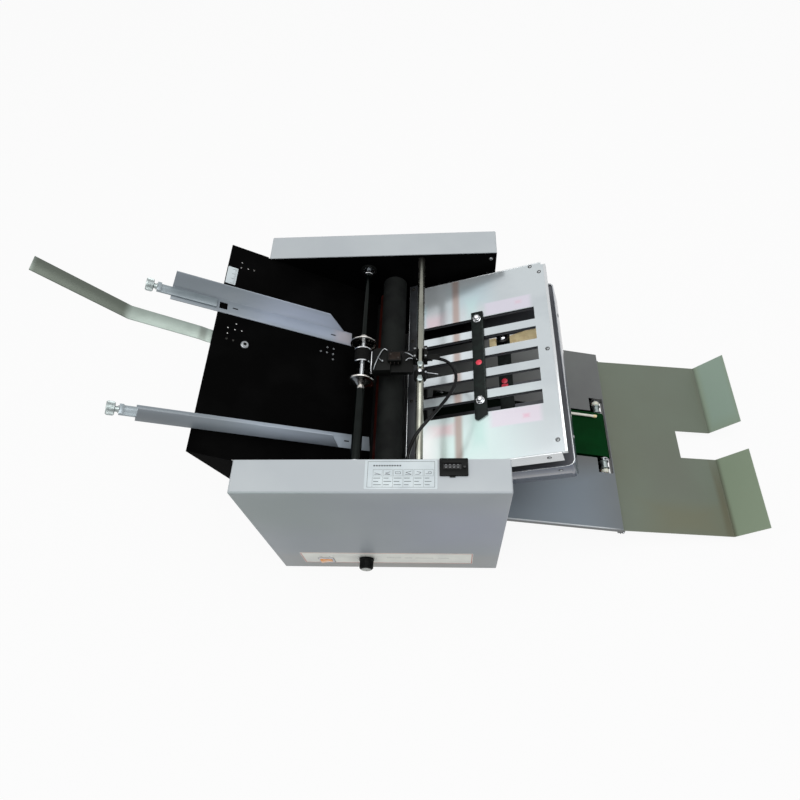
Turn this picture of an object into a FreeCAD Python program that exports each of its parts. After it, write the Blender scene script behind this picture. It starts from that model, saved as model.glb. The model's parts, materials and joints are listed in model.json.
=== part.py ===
import FreeCAD, Part
import math
import os
import re
import Sketcher

# Desk paper folder: two side boxes, a sloping infeed table with two side guides,
# a feed shaft, six fold rollers, buckle plates and a belt delivery with a tray.
# X runs the way the paper goes, Y to the back, Z up. Lengths are in millimetres.
# Places along X are counted from the feed end of the side boxes. Every sub-part
# is then set back by half a box length, so the origin is under the middle of the
# base, on the underside of its pan.

os.makedirs("parts", exist_ok=True)

SIZES = {
    # side boxes, base and general clearances
    "box_long": 400, "box_high": 366, "box_wide": 51.7, "inner_half": 196.3,
    "cover_wall": 1.5, "cover_round": 2.5, "plate_wall": 2, "seat_gap": 0.3,
    "running_gap": 0.05, "overrun": 1, "pan_wall": 2, "pan_rim": 14, "pan_inset": 2,
    "foot_high": 12, "foot_radius": 14, "foot_tip_radius": 11, "foot_in": 36, "foot_beyond": 18.7,
    "screw_radius": 3.5, "screw_high": 2, "cover_screw_low": 40, "cover_screw_high": 326,
    "tie_radius": 5, "tie_low": 60, "tie_mid": 150, "tie_near": 25, "tie_in": 15,
    # infeed table
    "table_slope": 30.81, "table_reach": 56.5, "table_rise": 400.1, "table_wall": 1.5,
    "table_long": 280, "pin_hole_radius": 1.3, "wing_root": 230,
    # support strip and its bolt
    "strip_wide": 24, "strip_wall": 2, "strip_side": 3, "strip_root": 62, "joggle_near": -6,
    "joggle_far": -18, "strip_bend": -122, "strip_tip_long": 140.5, "strip_tip_turn": 20.5,
    "bolt_place": 51.8, "bolt_radius": 3, "bolt_head_radius": 7, "bolt_head_high": 3.4,
    "bolt_long": 10, "bolt_nut_radius": 5.2, "bolt_nut_high": 4,
    # side guides
    "guide_wall": 1.5, "guide_start": -75, "guide_bend": 2, "window_long": 13, "window_wide": 13,
    "back_guide_in": 122.3, "back_guide_turn": 3, "back_guide_long": 307, "back_guide_wide": 27,
    "back_flange_top": 252, "back_flange_foot": 292, "back_flange_high": 39,
    "front_guide_in": 25.3, "front_guide_turn": 6.5, "front_guide_long": 357,
    "front_guide_wide": 25, "front_flange_top": 277, "front_flange_foot": 302,
    "front_flange_high": 40, "slot_long": 9, "slot_wide": 2.6,
    "bar_wide": 15, "bar_wall": 3, "bar_out": 22, "bar_in": 70, "bar_tab_high": 6.4,
    "bar_tab_long": 6, "thumb_radius": 10, "thumb_thick": 11.5, "thumb_neck_radius": 4.2,
    "thumb_neck": 5.2, "thumb_shank_radius": 2, "thumb_shank": 5.5,
    # feed shaft
    "feed_x": 173.5, "feed_z": 330, "feed_radius": 4, "front_sleeve_radius": 7,
    "back_sleeve_radius": 5, "sleeve_clear": 8.3, "front_sleeve_start": 58,
    "back_sleeve_start": 49, "disc_radius": 21, "disc_wall": 1.5, "disc_hub_radius": 7,
    "disc_deep": 16, "back_disc_rim": 31, "front_disc_rim": -41, "wheel_radius": 13.5,
    "wheel_start": -7, "wheel_wide": 23, "wheel_ring": 2, "wheel_ring_radius": 15,
    # separator under the feed wheel
    "separator_half": 15, "separator_side": 4, "separator_gap": 0.5, "block_high": 26,
    "pad_travel": 3, "block_near": 163, "block_far": 181, "post_radius": 3,
    # fold rollers
    "main_x": 219.6, "main_z": 300, "roller_radius": 21, "nip_gap": 0.3, "core_radius": 14,
    "journal_radius": 6, "roller_clear": 9.3, "red_turn": 257, "first_turn": 239,
    "second_turn": 287, "third_turn": 215, "fourth_turn": 275, "bearing_radius": 11,
    "bearing_inner": 3, "bearing_outer": 1.5, "teeth": 28, "gear_clear": 3.7, "gear_wide": 8,
    "journal_over": 2, "pulley_wide": 8, "pulley_gap": 1, "pulley_clear": 4.7,
    "main_pulley_radius": 22, "feed_pulley_radius": 14, "exit_pulley_radius": 13,
    "belt_wall": 2,
    # motor
    "motor_x": 95, "motor_z": 52, "motor_radius": 36, "motor_long": 150, "motor_clear": 86.3,
    "motor_pulley_radius": 11, "motor_shaft_radius": 5, "motor_shaft_hole": 9,
    "cradle_half": 28, "cradle_wall": 3,
    # cross bar and sensor
    "cross_x": 269.9, "cross_z": 356, "cross_radius": 5.75, "clamp_half": 11, "clamp_wide": 24,
    "clamp_side": -10, "clamp_drop": 10, "clamp_rise": 9, "clamp_bolt_radius": 3,
    "clamp_bolt_high": 5, "arm_reach": 36, "arm_wide": 40, "arm_side": -20, "arm_wall": 8, "head_long": 30,
    "head_wide": 42, "head_high": 18, "head_side": -18, "feeler_radius": 1.3,
    "feeler_ball": 2.6, "feeler_drop": 10, "feeler_long": 34, "wing_long": 20, "wing_wall": 2.5,
    "wing_wide": 9, "cable_radius": 2.5, "gland_radius": 5, "gland_long": 8,
    "grommet_radius": 6,
    # buckle plates
    "fold_slope": 17, "upper_x": 248, "upper_z": 286.7, "upper_long": 243.6, "upper_clear": 16.3,
    "sheet_wall": 1.2, "sheet_gap": 4.8, "slot_count": 5, "slot_pitch": 40, "slot_open": 25,
    "slot_from": 20, "slot_end": 26.6, "slot_side": -4, "notch_long": 8, "notch_wide": 5,
    "rail_wide": 8, "rail_wall": 1.5, "rail_high": 27, "lower_x": 255.9, "lower_z": 228.9,
    "lower_long": 257, "lower_clear": 18.3, "frame_wall": 2, "frame_high": 42, "frame_lip": 2,
    "frame_round": 9, "mouth_near": 1, "mouth_far": 15, "mouth_high": 9, "mouth_over": 4,
    "peg_radius": 4, "peg_near": 50, "peg_in": 18, "peg_drop": 15,
    "upper_stop": 121.7, "stop_wide": 20, "stop_back": 98.6, "back_nut": 82.6,
    "nut_radius": 6.5, "lower_stop": 162, "lower_stop_wide": 23, "lower_stop_back": 86,
    "lower_back_nut": 72, "lower_nut_radius": 10.5, "stop_wall": 4, "stop_front": 101.5,
    "stop_point": 109.6, "comb_wide": 10, "comb_wall": 3, "stud_radius": 2.5,
    "nut_high": 10, "front_nut": -76.9,
    "plate_screw_radius": 3.2, "plate_screw_high": 1.8, "plate_screw_in": 12,
    "left_x": 15, "left_upper_z": 354, "left_lower_z": 276, "left_upper_long": 188,
    "left_lower_long": 165, "left_clear": 20.3,
    # delivery
    "delivery_x": 627.7, "delivery_z": 56.3, "delivery_slope": 15.4, "delivery_wall": 1.5,
    "delivery_clear": 3.9, "delivery_top": 275, "chute_x": 192, "chute_z": 134,
    "flange_drop": 22, "side_flange": 12, "flange_in": 5, "belt_window": 52, "window_from": 284,
    "window_to": 625.8, "arm_from": 597, "arm_half": 82, "idle_x": 615.5, "drive_x": 300,
    "belt_roller_radius": 10, "belt_proud": 1, "belt_thick": 1.5, "belt_half": 47.5,
    "belt_shaft_radius": 4, "ear_half": 10, "ear_wall": 2, "ear_drop": 20,
    "wheel_end_radius": 8, "wheel_end_wide": 9, "wheel_end_side": 64, "rod_radius": 2.6,
    "rod_from": -112, "rod_to": -23, "rod_side": 36.8, "rod_foot_side": 62, "rod_high": 4.8,
    "foot_plate": 7,
    # tray
    "hinge_x": 632.4, "hinge_z": 33.5, "hinge_radius": 2, "barrel_radius": 4,
    "tray_wall": 1.5, "tray_clear": 5.4, "tray_bend_x": 841.6, "tray_bend_z": 5.4,
    "tray_tip_x": 884.9, "tray_tip_z": 56.5, "notch_half": 30, "notch_from": 772.3,
    "tray_ear": 6,
    # controls
    "switch_x": 88, "switch_z": 45, "switch_long": 28, "switch_high": 24, "switch_rim": 2,
    "switch_proud": 1.6, "switch_deep": 22, "rocker_proud": 2.4, "rocker_deep": 8,
    "knob_x": 163, "knob_z": 55, "knob_radius": 13.5, "knob_long": 20, "knob_gap": 1,
    "knob_shaft_radius": 3, "pot_radius": 8, "pot_long": 10,
    "counter_in": 80.5, "counter_off": 13.2, "counter_long": 40, "counter_wide": 26,
    "counter_proud": 4, "counter_deep": 24, "counter_neck": 2, "button_radius": 2.2,
    "button_proud": 1.4, "button_travel": 1, "button_in": 5,
    "inlet_x": 60, "inlet_z": 48, "inlet_long": 48, "inlet_high": 26, "inlet_rim": 2,
    "inlet_deep": 20, "socket_long": 24.6, "socket_high": 17, "socket_deep": 15,
    "inlet_neck_long": 30, "inlet_neck_high": 21, "blade_wide": 2, "blade_high": 4,
    "blade_long": 12, "blade_pitch": 7, "blade_rise": 2,
    "board_x": 78, "board_z": 200, "board_long": 96, "board_high": 96, "board_wall": 1.6,
    "board_off": 8, "post_round": 2.5,
}

# Sizes that follow from the others, so that what fits together stays together.
FITTED = {
    "cover_out": "inner_half + box_wide", "plate_out": "inner_half + plate_wall",
    "plate_top": "box_high - cover_wall - seat_gap",
    "foot_side": "inner_half + foot_beyond", "tie_far": "box_long - tie_in",
    "back_guide_side": "inner_half - back_guide_in",
    "front_guide_side": "front_guide_in - inner_half",
    "sleeve_end": "inner_half - sleeve_clear", "roller_half": "inner_half - roller_clear",
    "gear_start": "plate_out + gear_clear", "back_pulley_start": "plate_out + pulley_clear",
    "front_pulley_start": "gear_start + gear_wide + 2*pulley_gap",
    "motor_back": "inner_half - motor_clear", "motor_front": "motor_back - motor_long",
    "upper_half": "inner_half - upper_clear", "lower_half": "inner_half - lower_clear",
    "mouth_half": "upper_half + mouth_over", "left_half": "inner_half - left_clear",
    "peg_far": "(box_long - upper_x - peg_in)/cos(fold_slope)",
    "delivery_half": "inner_half - delivery_clear", "tray_half": "delivery_half - tray_clear",
    "counter_x": "box_long - counter_in", "counter_side": "inner_half + counter_off",
}

# Holes drilled in the infeed table, as shares of its length and of its half width.
TABLE_HOLE_SHARES = [
    (0.079, 0.847), (0.079, 0.790), (0.121, 0.802), (0.158, 0.808),
    (0.117, 0.195), (0.075, 0.138), (0.116, 0.137), (0.155, 0.143),
    (0.079, 0.084), (0.080, 0.029), (0.118, 0.029),
    (0.679, 0.238), (0.720, 0.241), (0.639, 0.179), (0.679, 0.183), (0.718, 0.184),
    (0.721, 0.130),
]

# The sensor cable's own points, from the sensor to the front side plate: along X,
# across as a share of inner_half, and up.
CABLE_ROUTE_SHARES = [
    (281, -0.0764, 355), (305, -0.0764, 355), (324, -0.1936, 360), (326, -0.3464, 366),
    (311, -0.5145, 373), (288, -0.6775, 377), (264, -0.8253, 374), (252, -0.9475, 352),
    (252, -1.0494, 352),
]

doc = FreeCAD.newDocument("paper_folder")
sheet = doc.addObject("Spreadsheet::Sheet", "Sizes")
for row, alias in enumerate([*SIZES, *FITTED], start=1):
    sheet.set("A%d" % row, alias)
    sheet.setAlias("B%d" % row, alias)
    if alias in SIZES:
        sheet.set("B%d" % row, str(SIZES[alias]))
for row, alias in enumerate(FITTED, start=len(SIZES) + 1):
    sheet.set("B%d" % row, "=" + FITTED[alias])
doc.recompute()

WORD = re.compile(r"[a-z][a-z_]*")
pieces = []


def bound(expression):
    """The expression with each named size read from the sheet."""
    known = {**SIZES, **FITTED}
    return WORD.sub(lambda m: "Sizes." + m.group() if m.group() in known else m.group(), expression)


def size(expression):
    """The number that an expression of named sizes gives."""
    return float(sheet.evalExpression(expression))


# Tools for sketches and bodies

def new_body(name):
    return doc.addObject("PartDesign::Body", name)


def draw(body, plane, offset="0"):
    """A sketch on one of the body's own planes, moved along its normal."""
    drawing = body.newObject("Sketcher::SketchObject", body.Name + "_sketch")
    support = [f for f in body.Origin.OriginFeatures if f.Role == plane + "_Plane"]
    drawing.AttachmentSupport = [(support[0], "")]
    drawing.MapMode = "FlatFace"
    drawing.setExpression("AttachmentOffset.Base.z", bound(offset))
    return drawing


def fix_point(drawing, geometry, corner, place):
    """Hold one point of a sketch at a place given in named sizes."""
    for kind, expression in zip(("DistanceX", "DistanceY"), place):
        number = drawing.addConstraint(
            Sketcher.Constraint(kind, geometry, corner, size(expression)))
        drawing.setExpression("Constraints[%d]" % number, bound(expression))


def add_polygon(drawing, points, closed=True):
    """Straight lines through points, each point held by two sizes."""
    spots = [FreeCAD.Vector(size(x), size(y), 0) for x, y in points]
    count = len(points) if closed else len(points) - 1
    first = drawing.GeometryCount
    for i in range(count):
        drawing.addGeometry(Part.LineSegment(spots[i], spots[(i + 1) % len(spots)]))
    for i in range(count if closed else count - 1):
        following = first + (i + 1) % count
        drawing.addConstraint(Sketcher.Constraint("Coincident", first + i, 2, following, 1))
    for i in range(count):
        fix_point(drawing, first + i, 1, points[i])
    if not closed:
        fix_point(drawing, first + count - 1, 2, points[-1])


def add_circle(drawing, x, y, radius):
    centre = FreeCAD.Vector(size(x), size(y), 0)
    geometry = drawing.addGeometry(Part.Circle(centre, FreeCAD.Vector(0, 0, 1), size(radius)))
    fix_point(drawing, geometry, 3, (x, y))
    number = drawing.addConstraint(Sketcher.Constraint("Radius", geometry, size(radius)))
    drawing.setExpression("Constraints[%d]" % number, bound(radius))


def rectangle(x_from, x_to, y_from, y_to):
    return [(x_from, y_from), (x_to, y_from), (x_to, y_to), (x_from, y_to)]


def add_slab(body, plane, points, start, thick, windows=(), holes=()):
    """Pad an outline from start, thick along the plane's own axis."""
    backwards = plane == "XZ"
    drawing = draw(body, plane, "-(%s)" % start if backwards else start)
    add_polygon(drawing, points)
    for window in windows:
        add_polygon(drawing, window)
    for x, y, radius in holes:
        add_circle(drawing, x, y, radius)
    pad = body.newObject("PartDesign::Pad", body.Name + "_pad")
    pad.Profile = drawing
    pad.Reversed = backwards
    pad.setExpression("Length", bound(thick))
    doc.recompute()
    return pad


def slab(name, plane, points, start, thick, windows=(), holes=()):
    body = new_body(name)
    add_slab(body, plane, points, start, thick, windows, holes)
    return body


def cut_slab(body, plane, start, deep, windows=(), holes=()):
    """Cut outlines out of a body, from start, deep along the plane's own axis."""
    before = body.Shape.Volume
    forwards = plane == "XZ"
    drawing = draw(body, plane, "-(%s)" % start if forwards else start)
    for window in windows:
        add_polygon(drawing, window)
    for x, y, radius in holes:
        add_circle(drawing, x, y, radius)
    pocket = body.newObject("PartDesign::Pocket", body.Name + "_pocket")
    pocket.Profile = drawing
    pocket.Reversed = not forwards
    pocket.setExpression("Length", bound(deep))
    doc.recompute()
    if body.Shape.Volume > before - 1e-6:
        raise RuntimeError("a pocket of %s cuts nothing" % body.Name)


def round_edges(body, radius, chosen):
    """Round the edges of a body whose middle point passes a test."""
    names = []
    for number, edge in enumerate(body.Shape.Edges, start=1):
        middle = edge.valueAt((edge.FirstParameter + edge.LastParameter) / 2)
        ends = [v.Point for v in edge.Vertexes]
        if len(ends) == 2 and chosen(middle, ends):
            names.append("Edge%d" % number)
    last = body.Tip
    fillet = body.newObject("PartDesign::Fillet", body.Name + "_round")
    fillet.Base = (last, names)
    fillet.setExpression("Radius", bound(radius))
    body.Tip = fillet
    doc.recompute()


def turned(name, points, x="0", y="0", z="0", axis="Y"):
    """A turned piece. Points are radius and place along the axis."""
    body = new_body(name)
    drawing = draw(body, "XZ" if axis == "Z" else "XY")
    if axis == "X":
        points = [(along, radius) for radius, along in points]
    add_polygon(drawing, points)
    turn = body.newObject("PartDesign::Revolution", name + "_turn")
    turn.Profile = drawing
    turn.ReferenceAxis = (drawing, ["H_Axis" if axis == "X" else "V_Axis"])
    turn.Angle = 360
    for letter, expression in zip("xyz", (x, y, z)):
        if expression != "0":
            body.setExpression("Placement.Base." + letter, bound(expression))
    return body


def rod(name, radius, start, end, x="0", y="0", z="0", axis="Y"):
    points = [("0", start), (radius, start), (radius, end), ("0", end)]
    return turned(name, points, x, y, z, axis)


def ring(name, inner, outer, start, end, x="0", y="0", z="0", axis="Y"):
    points = [(inner, start), (outer, start), (outer, end), (inner, end)]
    return turned(name, points, x, y, z, axis)


def bent_sheet(name, path, wall, side_from, side_to):
    """A sheet bent along a path of the XZ plane, thick to the path's left."""
    line = doc.addObject("Sketcher::SketchObject", name + "_path")
    line.Placement = FreeCAD.Placement(
        FreeCAD.Vector(0, 0, 0), FreeCAD.Rotation(FreeCAD.Vector(1, 0, 0), 90))
    add_polygon(line, path, closed=False)
    strip = doc.addObject("Part::Offset2D", name + "_strip")
    strip.Source = line
    strip.Mode = "Skin"
    strip.Join = "Arc"
    strip.Fill = True
    strip.setExpression("Value", bound(wall))
    solid = doc.addObject("Part::Extrusion", name)
    solid.Base = strip
    solid.DirMode = "Custom"
    solid.Dir = FreeCAD.Vector(0, 1, 0)
    solid.Solid = True
    solid.setExpression("LengthFwd", bound(side_to))
    solid.setExpression("LengthRev", bound("-(%s)" % side_from))
    doc.recompute()
    return solid


def join(name, objects):
    fuse = doc.addObject("Part::MultiFuse", name)
    fuse.Shapes = objects
    fuse.Refine = True
    return fuse


def cut(name, base, tool):
    difference = doc.addObject("Part::Cut", name)
    difference.Base = base
    difference.Tool = tool
    return difference


def group(name, objects):
    """Separate solids that share one node."""
    compound = doc.addObject("Part::Compound", name)
    compound.Links = objects
    return compound


def keep(name, piece):
    """Name a finished sub-part whose places are counted from the feed end."""
    piece.Label = name
    base = piece.getPropertyByName("Placement").Base
    held = dict(piece.ExpressionEngine)
    before = held.get("Placement.Base.x") or held.get(".Placement.Base.x") or str(base.x)
    piece.setExpression("Placement.Base.x", "%s - Sizes.box_long / 2" % before)
    pieces.append(piece)
    return piece


def keep_tilted(name, piece, x, z, slope, y="0", turn="0", along="0", up="0"):
    """Name a sub-part made flat, then turned about Z and sloped about Y."""
    piece.Label = name
    tilt = FreeCAD.Rotation(FreeCAD.Vector(0, 1, 0), size(slope))
    yaw = FreeCAD.Rotation(FreeCAD.Vector(0, 0, 1), size(turn))
    corner = FreeCAD.Vector(size("%s - box_long/2" % x), 0, size(z))
    shift = tilt.multVec(FreeCAD.Vector(size(along), size(y), size(up)))
    doc.recompute()
    piece.Placement = FreeCAD.Placement(corner + shift, tilt * yaw)
    pieces.append(piece)
    return piece


# Places worked out from the sizes

PITCH = "(2*roller_radius + nip_gap)"


def next_roller(place, turn):
    return ("(%s + %s*cos(%s))" % (place[0], PITCH, turn),
            "(%s + %s*sin(%s))" % (place[1], PITCH, turn))


MAIN = ("main_x", "main_z")
RED = next_roller(MAIN, "red_turn")
FIRST = next_roller(RED, "first_turn")
SECOND = next_roller(FIRST, "second_turn")
THIRD = next_roller(SECOND, "third_turn")
FOURTH = next_roller(THIRD, "fourth_turn")
ROLLERS = {
    "main_roller": MAIN, "red_roller": RED, "fold_roller_1": FIRST,
    "fold_roller_2": SECOND, "fold_roller_3": THIRD, "fold_roller_4": FOURTH,
}
CABLE_ROUTE = [(x, share * size("inner_half"), z) for x, share, z in CABLE_ROUTE_SHARES]
HALF_TURN = 180


def in_frame(x, z, slope, along, up):
    """Where a point of a sloped frame lies; a positive slope falls along X."""
    return ("(%s + (%s)*cos(%s) + (%s)*sin(%s))" % (x, along, slope, up, slope),
            "(%s - (%s)*sin(%s) + (%s)*cos(%s))" % (z, along, slope, up, slope))


def on_delivery(along, up):
    return in_frame("delivery_x", "delivery_z", "delivery_slope", along, up)


def delivery_height(x):
    return "(delivery_z + (delivery_x - %s)*tan(delivery_slope))" % x


BELT_AXIS_UP = "(belt_proud - belt_thick - seat_gap - belt_roller_radius)"
IDLE_ALONG = "((idle_x - delivery_x)/cos(delivery_slope))"
DRIVE_ALONG = "((drive_x - delivery_x)/cos(delivery_slope))"
IDLE = on_delivery(IDLE_ALONG, BELT_AXIS_UP)
DRIVE = on_delivery(DRIVE_ALONG, BELT_AXIS_UP)


# Base pan, feet and ties

def make_base():
    wide = "(cover_out - cover_wall - seat_gap)"
    outline = [("-" + wide, "0"), (wide, "0"), (wide, "pan_rim"),
               (wide + " - pan_wall", "pan_rim"), (wide + " - pan_wall", "pan_wall"),
               ("-%s + pan_wall" % wide, "pan_wall"), ("-%s + pan_wall" % wide, "pan_rim"),
               ("-" + wide, "pan_rim")]
    keep("base_pan", slab("base_pan", "YZ", outline, "pan_inset", "box_long - 2*pan_inset"))
    feet = []
    for number, (x, side) in enumerate([("foot_in", 1), ("foot_in", -1),
                                        ("(box_long - foot_in)", 1),
                                        ("(box_long - foot_in)", -1)]):
        foot = doc.addObject("Part::Cone", "foot_%d" % number)
        foot.setExpression("Radius1", "Sizes.foot_tip_radius")
        foot.setExpression("Radius2", "Sizes.foot_radius")
        foot.setExpression("Height", "Sizes.foot_high")
        foot.setExpression("Placement.Base.x", bound(x))
        foot.setExpression("Placement.Base.y", bound("%d*foot_side" % side))
        foot.setExpression("Placement.Base.z", bound("-foot_high"))
        feet.append(foot)
    keep("rubber_feet", group("rubber_feet", feet))
    over = "(cross_radius/4)"
    bar = [("0", "-inner_half"), ("cross_radius - " + over, "-inner_half"),
           ("cross_radius", "-inner_half + " + over), ("cross_radius", "inner_half - " + over),
           ("cross_radius - " + over, "inner_half"), ("0", "inner_half")]
    keep("cross_bar", turned("cross_bar", bar, "cross_x", "0", "cross_z"))


# Side plates with the wings that carry the infeed table

def make_side_plates():
    outline = [("0", "pan_wall"), ("box_long", "pan_wall"), ("box_long", "plate_top"),
               ("0", "plate_top"),
               ("-table_reach", "plate_top + table_reach*tan(table_slope)"),
               ("0", "wing_root")]
    shared = [(x, z, "bearing_radius") for x, z in ROLLERS.values()]
    shared.append(("feed_x", "feed_z", "bearing_radius"))
    shared.append((DRIVE[0], DRIVE[1], "bearing_radius"))
    back = shared + [("motor_x", "motor_z", "motor_shaft_hole")]
    cable_x, cable_y, cable_z = CABLE_ROUTE[-1]
    front = shared + [(str(cable_x), str(cable_z), "grommet_radius")]
    keep("back_side_plate",
         slab("back_side_plate", "XZ", outline, "inner_half", "plate_wall", holes=back))
    keep("front_side_plate",
         slab("front_side_plate", "XZ", outline, "-plate_out", "plate_wall", holes=front))


# Covers: sheet boxes open towards the side plates and at the bottom

def make_cover(name, side):
    body = new_body(name)
    start = "inner_half" if side > 0 else "-cover_out"
    add_slab(body, "XZ", rectangle("0", "box_long", "0", "box_high"), start, "box_wide")
    outer = side * size("cover_out")
    top = size("box_high")

    def outside(middle, ends):
        on_face = abs(middle.y - outer) < 1e-6 and middle.z > 1e-6
        across = abs(middle.z - top) < 1e-6 and abs(ends[0].y - ends[1].y) > 1
        return on_face or across

    round_edges(body, "cover_round", outside)
    room = "box_wide - cover_wall + overrun"
    from_y = "inner_half - overrun" if side > 0 else "-cover_out + cover_wall"
    hollow = rectangle("cover_wall", "box_long - cover_wall", "-overrun", "box_high - cover_wall")
    cut_slab(body, "XZ", from_y, room, [hollow])
    ends = rectangle("-overrun", "box_long + overrun", "-overrun", "box_high - cover_wall")
    lap = "(plate_wall + seat_gap)"
    from_y = "inner_half - overrun" if side > 0 else "-inner_half - " + lap
    cut_slab(body, "XZ", from_y, lap + " + overrun", [ends])
    return body


def around(x, y, long, wide):
    """A rectangle about a centre."""
    return rectangle("%s - (%s)/2" % (x, long), "%s + (%s)/2" % (x, long),
                     "%s - (%s)/2" % (y, wide), "%s + (%s)/2" % (y, wide))


def make_covers():
    front = make_cover("front_cover", -1)
    switch = around("switch_x", "switch_z", "switch_long - 2*switch_rim",
                    "switch_high - 2*switch_rim")
    deep = "cover_wall + 2*overrun"
    face = "-cover_out - overrun"
    cut_slab(front, "XZ", face, deep, [switch],
             [("knob_x", "knob_z", "knob_shaft_radius + seat_gap")])
    counter = around("counter_x", "-counter_side", "counter_long - 2*counter_neck",
                     "counter_wide - 2*counter_neck")
    cut_slab(front, "XY", "box_high - cover_wall - overrun", deep, [counter])
    keep("front_cover", front)
    back = make_cover("back_cover", 1)
    inlet = around("inlet_x", "inlet_z", "inlet_neck_long", "inlet_neck_high")
    cut_slab(back, "XZ", "cover_out - cover_wall - overrun", deep, [inlet])
    keep("back_cover", back)
    heads = []
    for side in (1, -1):
        for high in ("cover_screw_low", "cover_screw_high"):
            y = "%d*(inner_half + box_wide/2)" % side
            heads.append(rod("left_head_%d" % len(heads), "screw_radius", "-screw_high", "0",
                             "0", y, high, "X"))
            heads.append(rod("right_head_%d" % len(heads), "screw_radius", "0", "screw_high",
                             "box_long", y, high, "X"))
    return heads


# Infeed table, support strip and bolt, made flat with X down the slope

TABLE = ("-table_reach", "table_rise", "table_slope")


def keep_on_table(name, piece, y="0", turn="0", along="0", up="0"):
    keep_tilted(name, piece, TABLE[0], TABLE[1], TABLE[2], y, turn, along, up)


def make_table():
    step = "((table_reach - overrun)/cos(table_slope))"
    narrow = "(inner_half - seat_gap)"
    outline = [("0", "-plate_out"), (step, "-plate_out"), (step, "-" + narrow),
               ("table_long", "-" + narrow), ("table_long", narrow), (step, narrow),
               (step, "plate_out"), ("0", "plate_out")]
    holes = [("%s*table_long" % s, "%s*inner_half" % y, "pin_hole_radius")
             for s, y in TABLE_HOLE_SHARES]
    holes.append(("bolt_place", "strip_side", "bolt_radius"))
    plate = slab("infeed_table", "XY", outline, "-table_wall", "table_wall", holes=holes)
    keep_on_table("infeed_table", plate)
    under = "(-table_wall - seat_gap)"
    tip = ("strip_bend - strip_tip_long*cos(strip_tip_turn)",
           "-seat_gap + strip_tip_long*sin(strip_tip_turn)")
    path = [("strip_root", under), ("joggle_near", under), ("joggle_far", "-seat_gap"),
            ("strip_bend", "-seat_gap"), tip]
    strip = bent_sheet("strip_sheet", path, "strip_wall", "strip_side - strip_wide/2",
                       "strip_side + strip_wide/2")
    bore = rod("strip_bore", "bolt_radius + running_gap", "-bolt_long", "bolt_long",
               "bolt_place", "strip_side", "0", "Z")
    keep_on_table("support_strip", cut("support_strip", strip, bore))
    low = "(%s - strip_wall - seat_gap)" % under
    head = [("0", "-bolt_long"), ("bolt_radius", "-bolt_long"), ("bolt_radius", "0"),
            ("bolt_head_radius", "0"), ("bolt_head_radius", "bolt_head_high/4"),
            ("0.8*bolt_head_radius", "0.7*bolt_head_high"),
            ("0.45*bolt_head_radius", "0.95*bolt_head_high"), ("0", "bolt_head_high")]
    bolt = turned("bolt_shank", head, axis="Z")
    nut = ring("bolt_nut", "bolt_radius", "bolt_nut_radius", low + " - bolt_nut_high", low,
               axis="Z")
    keep_on_table("strip_bolt", group("strip_bolt", [bolt, nut]), "strip_side",
                  along="bolt_place")


# Side guides, their sliding bars and thumb screws

def make_guide(name, side, long, wide, flange_top, flange_foot, high, place, turn):
    """side is 1 where the flange stands on the back edge, -1 on the front edge."""
    body = new_body(name)
    far = "-(%s)" % wide if side > 0 else wide
    near_edge, far_edge = ("0", far)
    middle = "(%s)/2" % far
    window = around("-guide_start + window_long/2", middle, "window_long", "window_wide")
    slot_a = around("-guide_start + 0.084*%s" % long, middle, "slot_long", "slot_wide")
    slot_b = around("0.888*%s" % long, middle, "slot_long", "slot_wide")
    windows = [window, slot_a, slot_b] if side > 0 else [slot_b]
    add_slab(body, "XY", rectangle("0", long, near_edge, far_edge), "0", "guide_wall", windows)
    flange = [("0", "0"), (flange_foot, "0"), (flange_foot, "guide_wall"), (flange_top, high),
              ("0", high)]
    start = "-guide_wall" if side > 0 else "0"
    add_slab(body, "XZ", flange, start, "guide_wall")
    round_edges(body, "guide_wall*0.9", lambda m, e: abs(m.y) < 1e-6 and abs(m.z) < 1e-6
                and abs(e[0].x - e[1].x) > 1)
    keep_on_table(name, body, place, turn, "guide_start", "seat_gap")
    bar_low = "(guide_wall + seat_gap)"
    bar_y = ("%s - bar_wide/2" % middle, "%s + bar_wide/2" % middle)
    kind = name.split("_")[0]
    bar = new_body(kind + "_guide_bar")
    add_slab(bar, "XY", rectangle("-bar_out", "bar_in", bar_y[0], bar_y[1]), bar_low, "bar_wall")
    tab_top = bar_low + " + bar_tab_high"
    tab = rectangle(bar_y[0], bar_y[1], bar_low, tab_top)
    screw_z = bar_low + " + bar_tab_high/2"
    add_slab(bar, "YZ", tab, "-bar_out", "bar_tab_long")
    cut_slab(bar, "YZ", "-bar_out - overrun", "bar_tab_long + overrun",
             holes=[(middle, screw_z, "thumb_shank_radius + running_gap")])
    keep_on_table(kind + "_guide_bar", bar, place, turn, "guide_start", "seat_gap")
    points = [("0", "-thumb_neck - thumb_thick"),
              ("0.85*thumb_radius", "-thumb_neck - thumb_thick"),
              ("thumb_radius", "-thumb_neck - 0.85*thumb_thick"),
              ("thumb_radius", "-thumb_neck - 0.15*thumb_thick"),
              ("0.85*thumb_radius", "-thumb_neck"), ("thumb_neck_radius", "-thumb_neck"),
              ("thumb_neck_radius", "-seat_gap"), ("thumb_shank_radius", "-seat_gap"),
              ("thumb_shank_radius", "thumb_shank"), ("0", "thumb_shank")]
    screw = turned(kind + "_thumb_turned", points, "-bar_out", middle, screw_z, "X")
    holder = group(kind + "_thumb_group", [screw])
    keep_on_table(kind + "_thumb_screw", holder, place, turn, "guide_start", "seat_gap")


def make_guides():
    make_guide("back_guide", 1, "back_guide_long", "back_guide_wide", "back_flange_top",
               "back_flange_foot", "back_flange_high", "back_guide_side", "back_guide_turn")
    make_guide("front_guide", -1, "front_guide_long", "front_guide_wide", "front_flange_top",
               "front_flange_foot", "front_flange_high", "front_guide_side", "front_guide_turn")


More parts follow.
